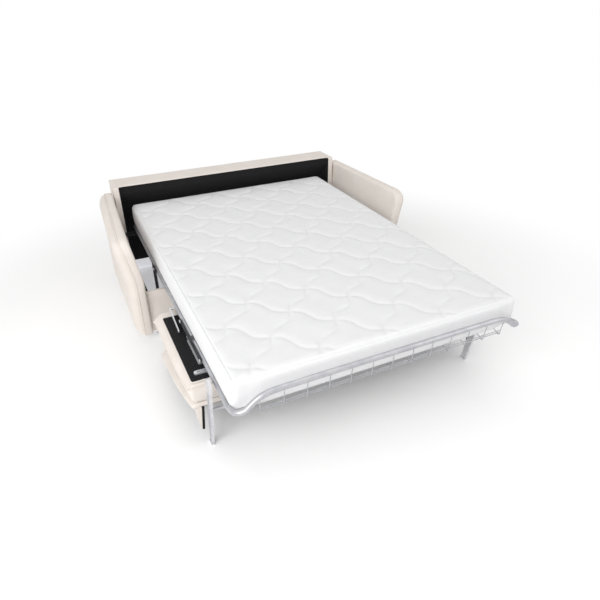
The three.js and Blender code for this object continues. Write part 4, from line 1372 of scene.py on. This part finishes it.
rest_polygon = rectangle(-REST_HALF, REST_HALF, REST_FRONT, REST_REAR)
rest_rings = [(inset, rest_height(share), bulge) for inset, share, bulge in (
    (280, 0, 0), (160, 0, 0), (60, 0, 0), (24, 0, 0), (12, -0.03, 0.6), (4, -0.06, 0.9),
    (0, 0.03, 1.0), (0, 0.14, 1.0), (0, 0.3, 0.9), (1, 0.5, 0.72), (2, 0.7, 0.5), (5, 0.88, 0.28),
    (9, 0.97, 0.1), (14, 1.0, 0.0), (60, 1.0, 0), (160, 1.0, 0), (280, 1.0, 0))]
points, faces = loft(cushion(rest_polygon, REST_ROUND, rest_rings, REST_HALF, REST_BULGE))
backrest = make_piece("backrest_cushion_cover", points, faces, "cream_fabric", "backrest",
                      ("backrest_cushion",))

lining_rings = [(inset, board_height(lift), 0) for inset, lift in (
    (60, 0), (4, 0), (0, 2.5), (0, 6.5), (4, 9), (60, 9))]
rest_board = rectangle(-REST_HALF + 3, REST_HALF - 3, REST_FRONT + 3, REST_REAR - 3)
points, faces = loft(cushion(rest_board, BOARD_ROUND, lining_rings, REST_HALF, 0))
make_piece("backrest_lining", points, faces, "black_lining", "backrest", ("backrest_board",))
points, faces = cord(rest_polygon, REST_ROUND, 2.0, rest_height(0.0), REST_HALF, REST_BULGE)
make_piece("backrest_piping", points, faces, "cream_fabric", "backrest")
print("backrest", round(REST_REAR - REST_FRONT), "mm deep")

# %% [markdown]
# A flap of lined cloth hangs at each front corner of the backrest. Seen from the foot of the bed it
# narrows to a tip, and its inner edge shows the black lining.

# %% Corner flaps
def flap(outline, front, rear, side):
    """A thin upright piece of cloth, its outline in x and z."""
    middle = (front + rear) / 2
    layers = ((front, 1.5), (front + 1.5, 0.3), (middle, 0.0), (rear - 1.5, 0.3), (rear, 1.5))
    rings = []
    for y, inset in layers:
        ring = rounded_outline(outline, [3] * len(outline), inset, arc=4, along=8)
        rings.append([(side * x, y, z) for x, z in ring])
    return loft(rings)


for word, side in SIDES:
    node = "backrest_tab_" + word
    low, high = corners(node)
    inner, outer = sorted(abs(value) for value in (low[0], high[0]))
    foot, head = low[2], high[2]
    cream = [(inner + 22, foot + 4), (inner + 27, foot + 6), (outer + 6, head), (inner + 12, head)]
    black = [(inner + 10, foot), (inner + 21, foot + 3), (inner + 12, head), (inner, head)]
    points, faces = flap(cream, low[1], high[1], side)
    make_piece("corner_flap_" + word, points, faces, "cream_fabric", "backrest", (node,))
    points, faces = flap(black, low[1] + 2, high[1], side)
    make_piece("flap_lining_" + word, points, faces, "black_lining", "backrest")
print("corner flaps made")

# %% [markdown]
# ## Hard parts that keep their measured shape
# Pins, links, brackets, legs and feet are already right. They only need their finish and the fine
# rounding that sawn or pressed metal has on its edges, which a bevel gives without moving the part.

# %% Finish the measured parts
SLOT_OF = {row["node"]: row["material_slot"] for row in frame["record"]["subparts"]}
EDGE_BREAK = {"plywood": 1.0, "black_plastic": 1.6, "cover_cloth": 0.5}
METAL_EDGE_BREAK = 0.8

shown = [(name, node) for name, node in frame["nodes"].items() if not node.hide_render]
for name, node in shown:
    slot = SLOT_OF[name]
    node.data.materials.clear()
    node.data.materials.append(FINISHES[slot])
    bevel = node.modifiers.new("edge_break", "BEVEL")
    bevel.width = EDGE_BREAK.get(slot, METAL_EDGE_BREAK) * METRES
    bevel.segments = 2
    bevel.limit_method = "ANGLE"
    bevel.angle_limit = math.radians(40)
print("measured parts shown:", len(shown))

# %% [markdown]
# ## Floor
# The floor is pale, glows very faintly and fades to plain white away from the sofa. It is white only
# where the camera, a reflection or a see-through surface looks at it, so it lights nothing by that,
# and near the sofa it keeps the shadow.

# %% Floor
FLOOR_HALF = 60.0
FLOOR_COLOUR = (0.94, 0.94, 0.94, 1)
WHITE = (1, 1, 1, 1)
FLOOR_GLOW = 0.07
WHITE_START, WHITE_END = 1.6, 2.8


def make_floor():
    finish = Finish("studio_floor", 0.9)
    finish.feed("Base Color", FLOOR_COLOUR)
    finish.feed("Emission Color", WHITE)
    finish.feed("Emission Strength", FLOOR_GLOW)
    finish.feed("Specular IOR Level", 0.0)
    reach = (finish.x * finish.x + finish.y * finish.y) ** 0.5
    away = finish.seen() * reach.within(WHITE_START, WHITE_END)
    near = Value(finish, finish.shader.outputs[0])
    white = finish.node("ShaderNodeEmission", inputs={"Color": WHITE})
    blend = finish.node("ShaderNodeMixShader", inputs={0: away, 1: near, 2: white})
    finish.plug(finish.tree.nodes["Material Output"], "Surface", blend)
    data = bpy.data.meshes.new("studio_floor")
    square = [(x, y, 0) for x, y in rectangle(-FLOOR_HALF, FLOOR_HALF, -FLOOR_HALF, FLOOR_HALF)]
    data.from_pydata(square, [], [(0, 1, 2, 3)])
    data.materials.append(finish.material)
    floor = bpy.data.objects.new("studio_floor", data)
    bpy.context.scene.collection.objects.link(floor)


make_floor()
print("floor", 2 * FLOOR_HALF, "m across")

# %% [markdown]
# ## Light
# Three broad lamps stand in for the soft boxes of a studio: a key from the left and the front, a
# weaker fill from the right, and one overhead. The world is white where the camera, a reflection or
# a see-through surface looks at it, and dimmer where it lights the sofa, so that colours come out
# about as they are written.

# %% Light
WORLD_LIGHT = 0.62
LAMP_TARGET = Vector((0, 0, 0.3))
LAMPS = [  # name, place, width in metres, power in watts
    ("key", (-3.2, -3.0, 2.8), 3.0, 120),
    ("fill", (3.0, -3.0, 3.0), 3.0, 30),
    ("top", (0.0, -0.2, 4.2), 3.5, 26),
]


def make_world():
    world = bpy.data.worlds.new("studio")
    world.use_nodes = True
    graph = Graph(world.node_tree)
    background = world.node_tree.nodes["Background"]
    graph.plug(background, "Color", WHITE)
    graph.plug(background, "Strength", graph.seen() * (1 - WORLD_LIGHT) + WORLD_LIGHT)
    bpy.context.scene.world = world


def soft_lamp(name, place, size, power):
    data = bpy.data.lights.new(name, "AREA")
    data.size = size
    data.energy = power
    lamp = bpy.data.objects.new(name, data)
    lamp.location = place
    lamp.rotation_euler = (LAMP_TARGET - Vector(place)).to_track_quat("-Z", "Y").to_euler()
    bpy.context.scene.collection.objects.link(lamp)


make_world()
for row in LAMPS:
    soft_lamp(*row)
bpy.context.scene.view_settings.view_transform = "Standard"
print("lamps and world set")
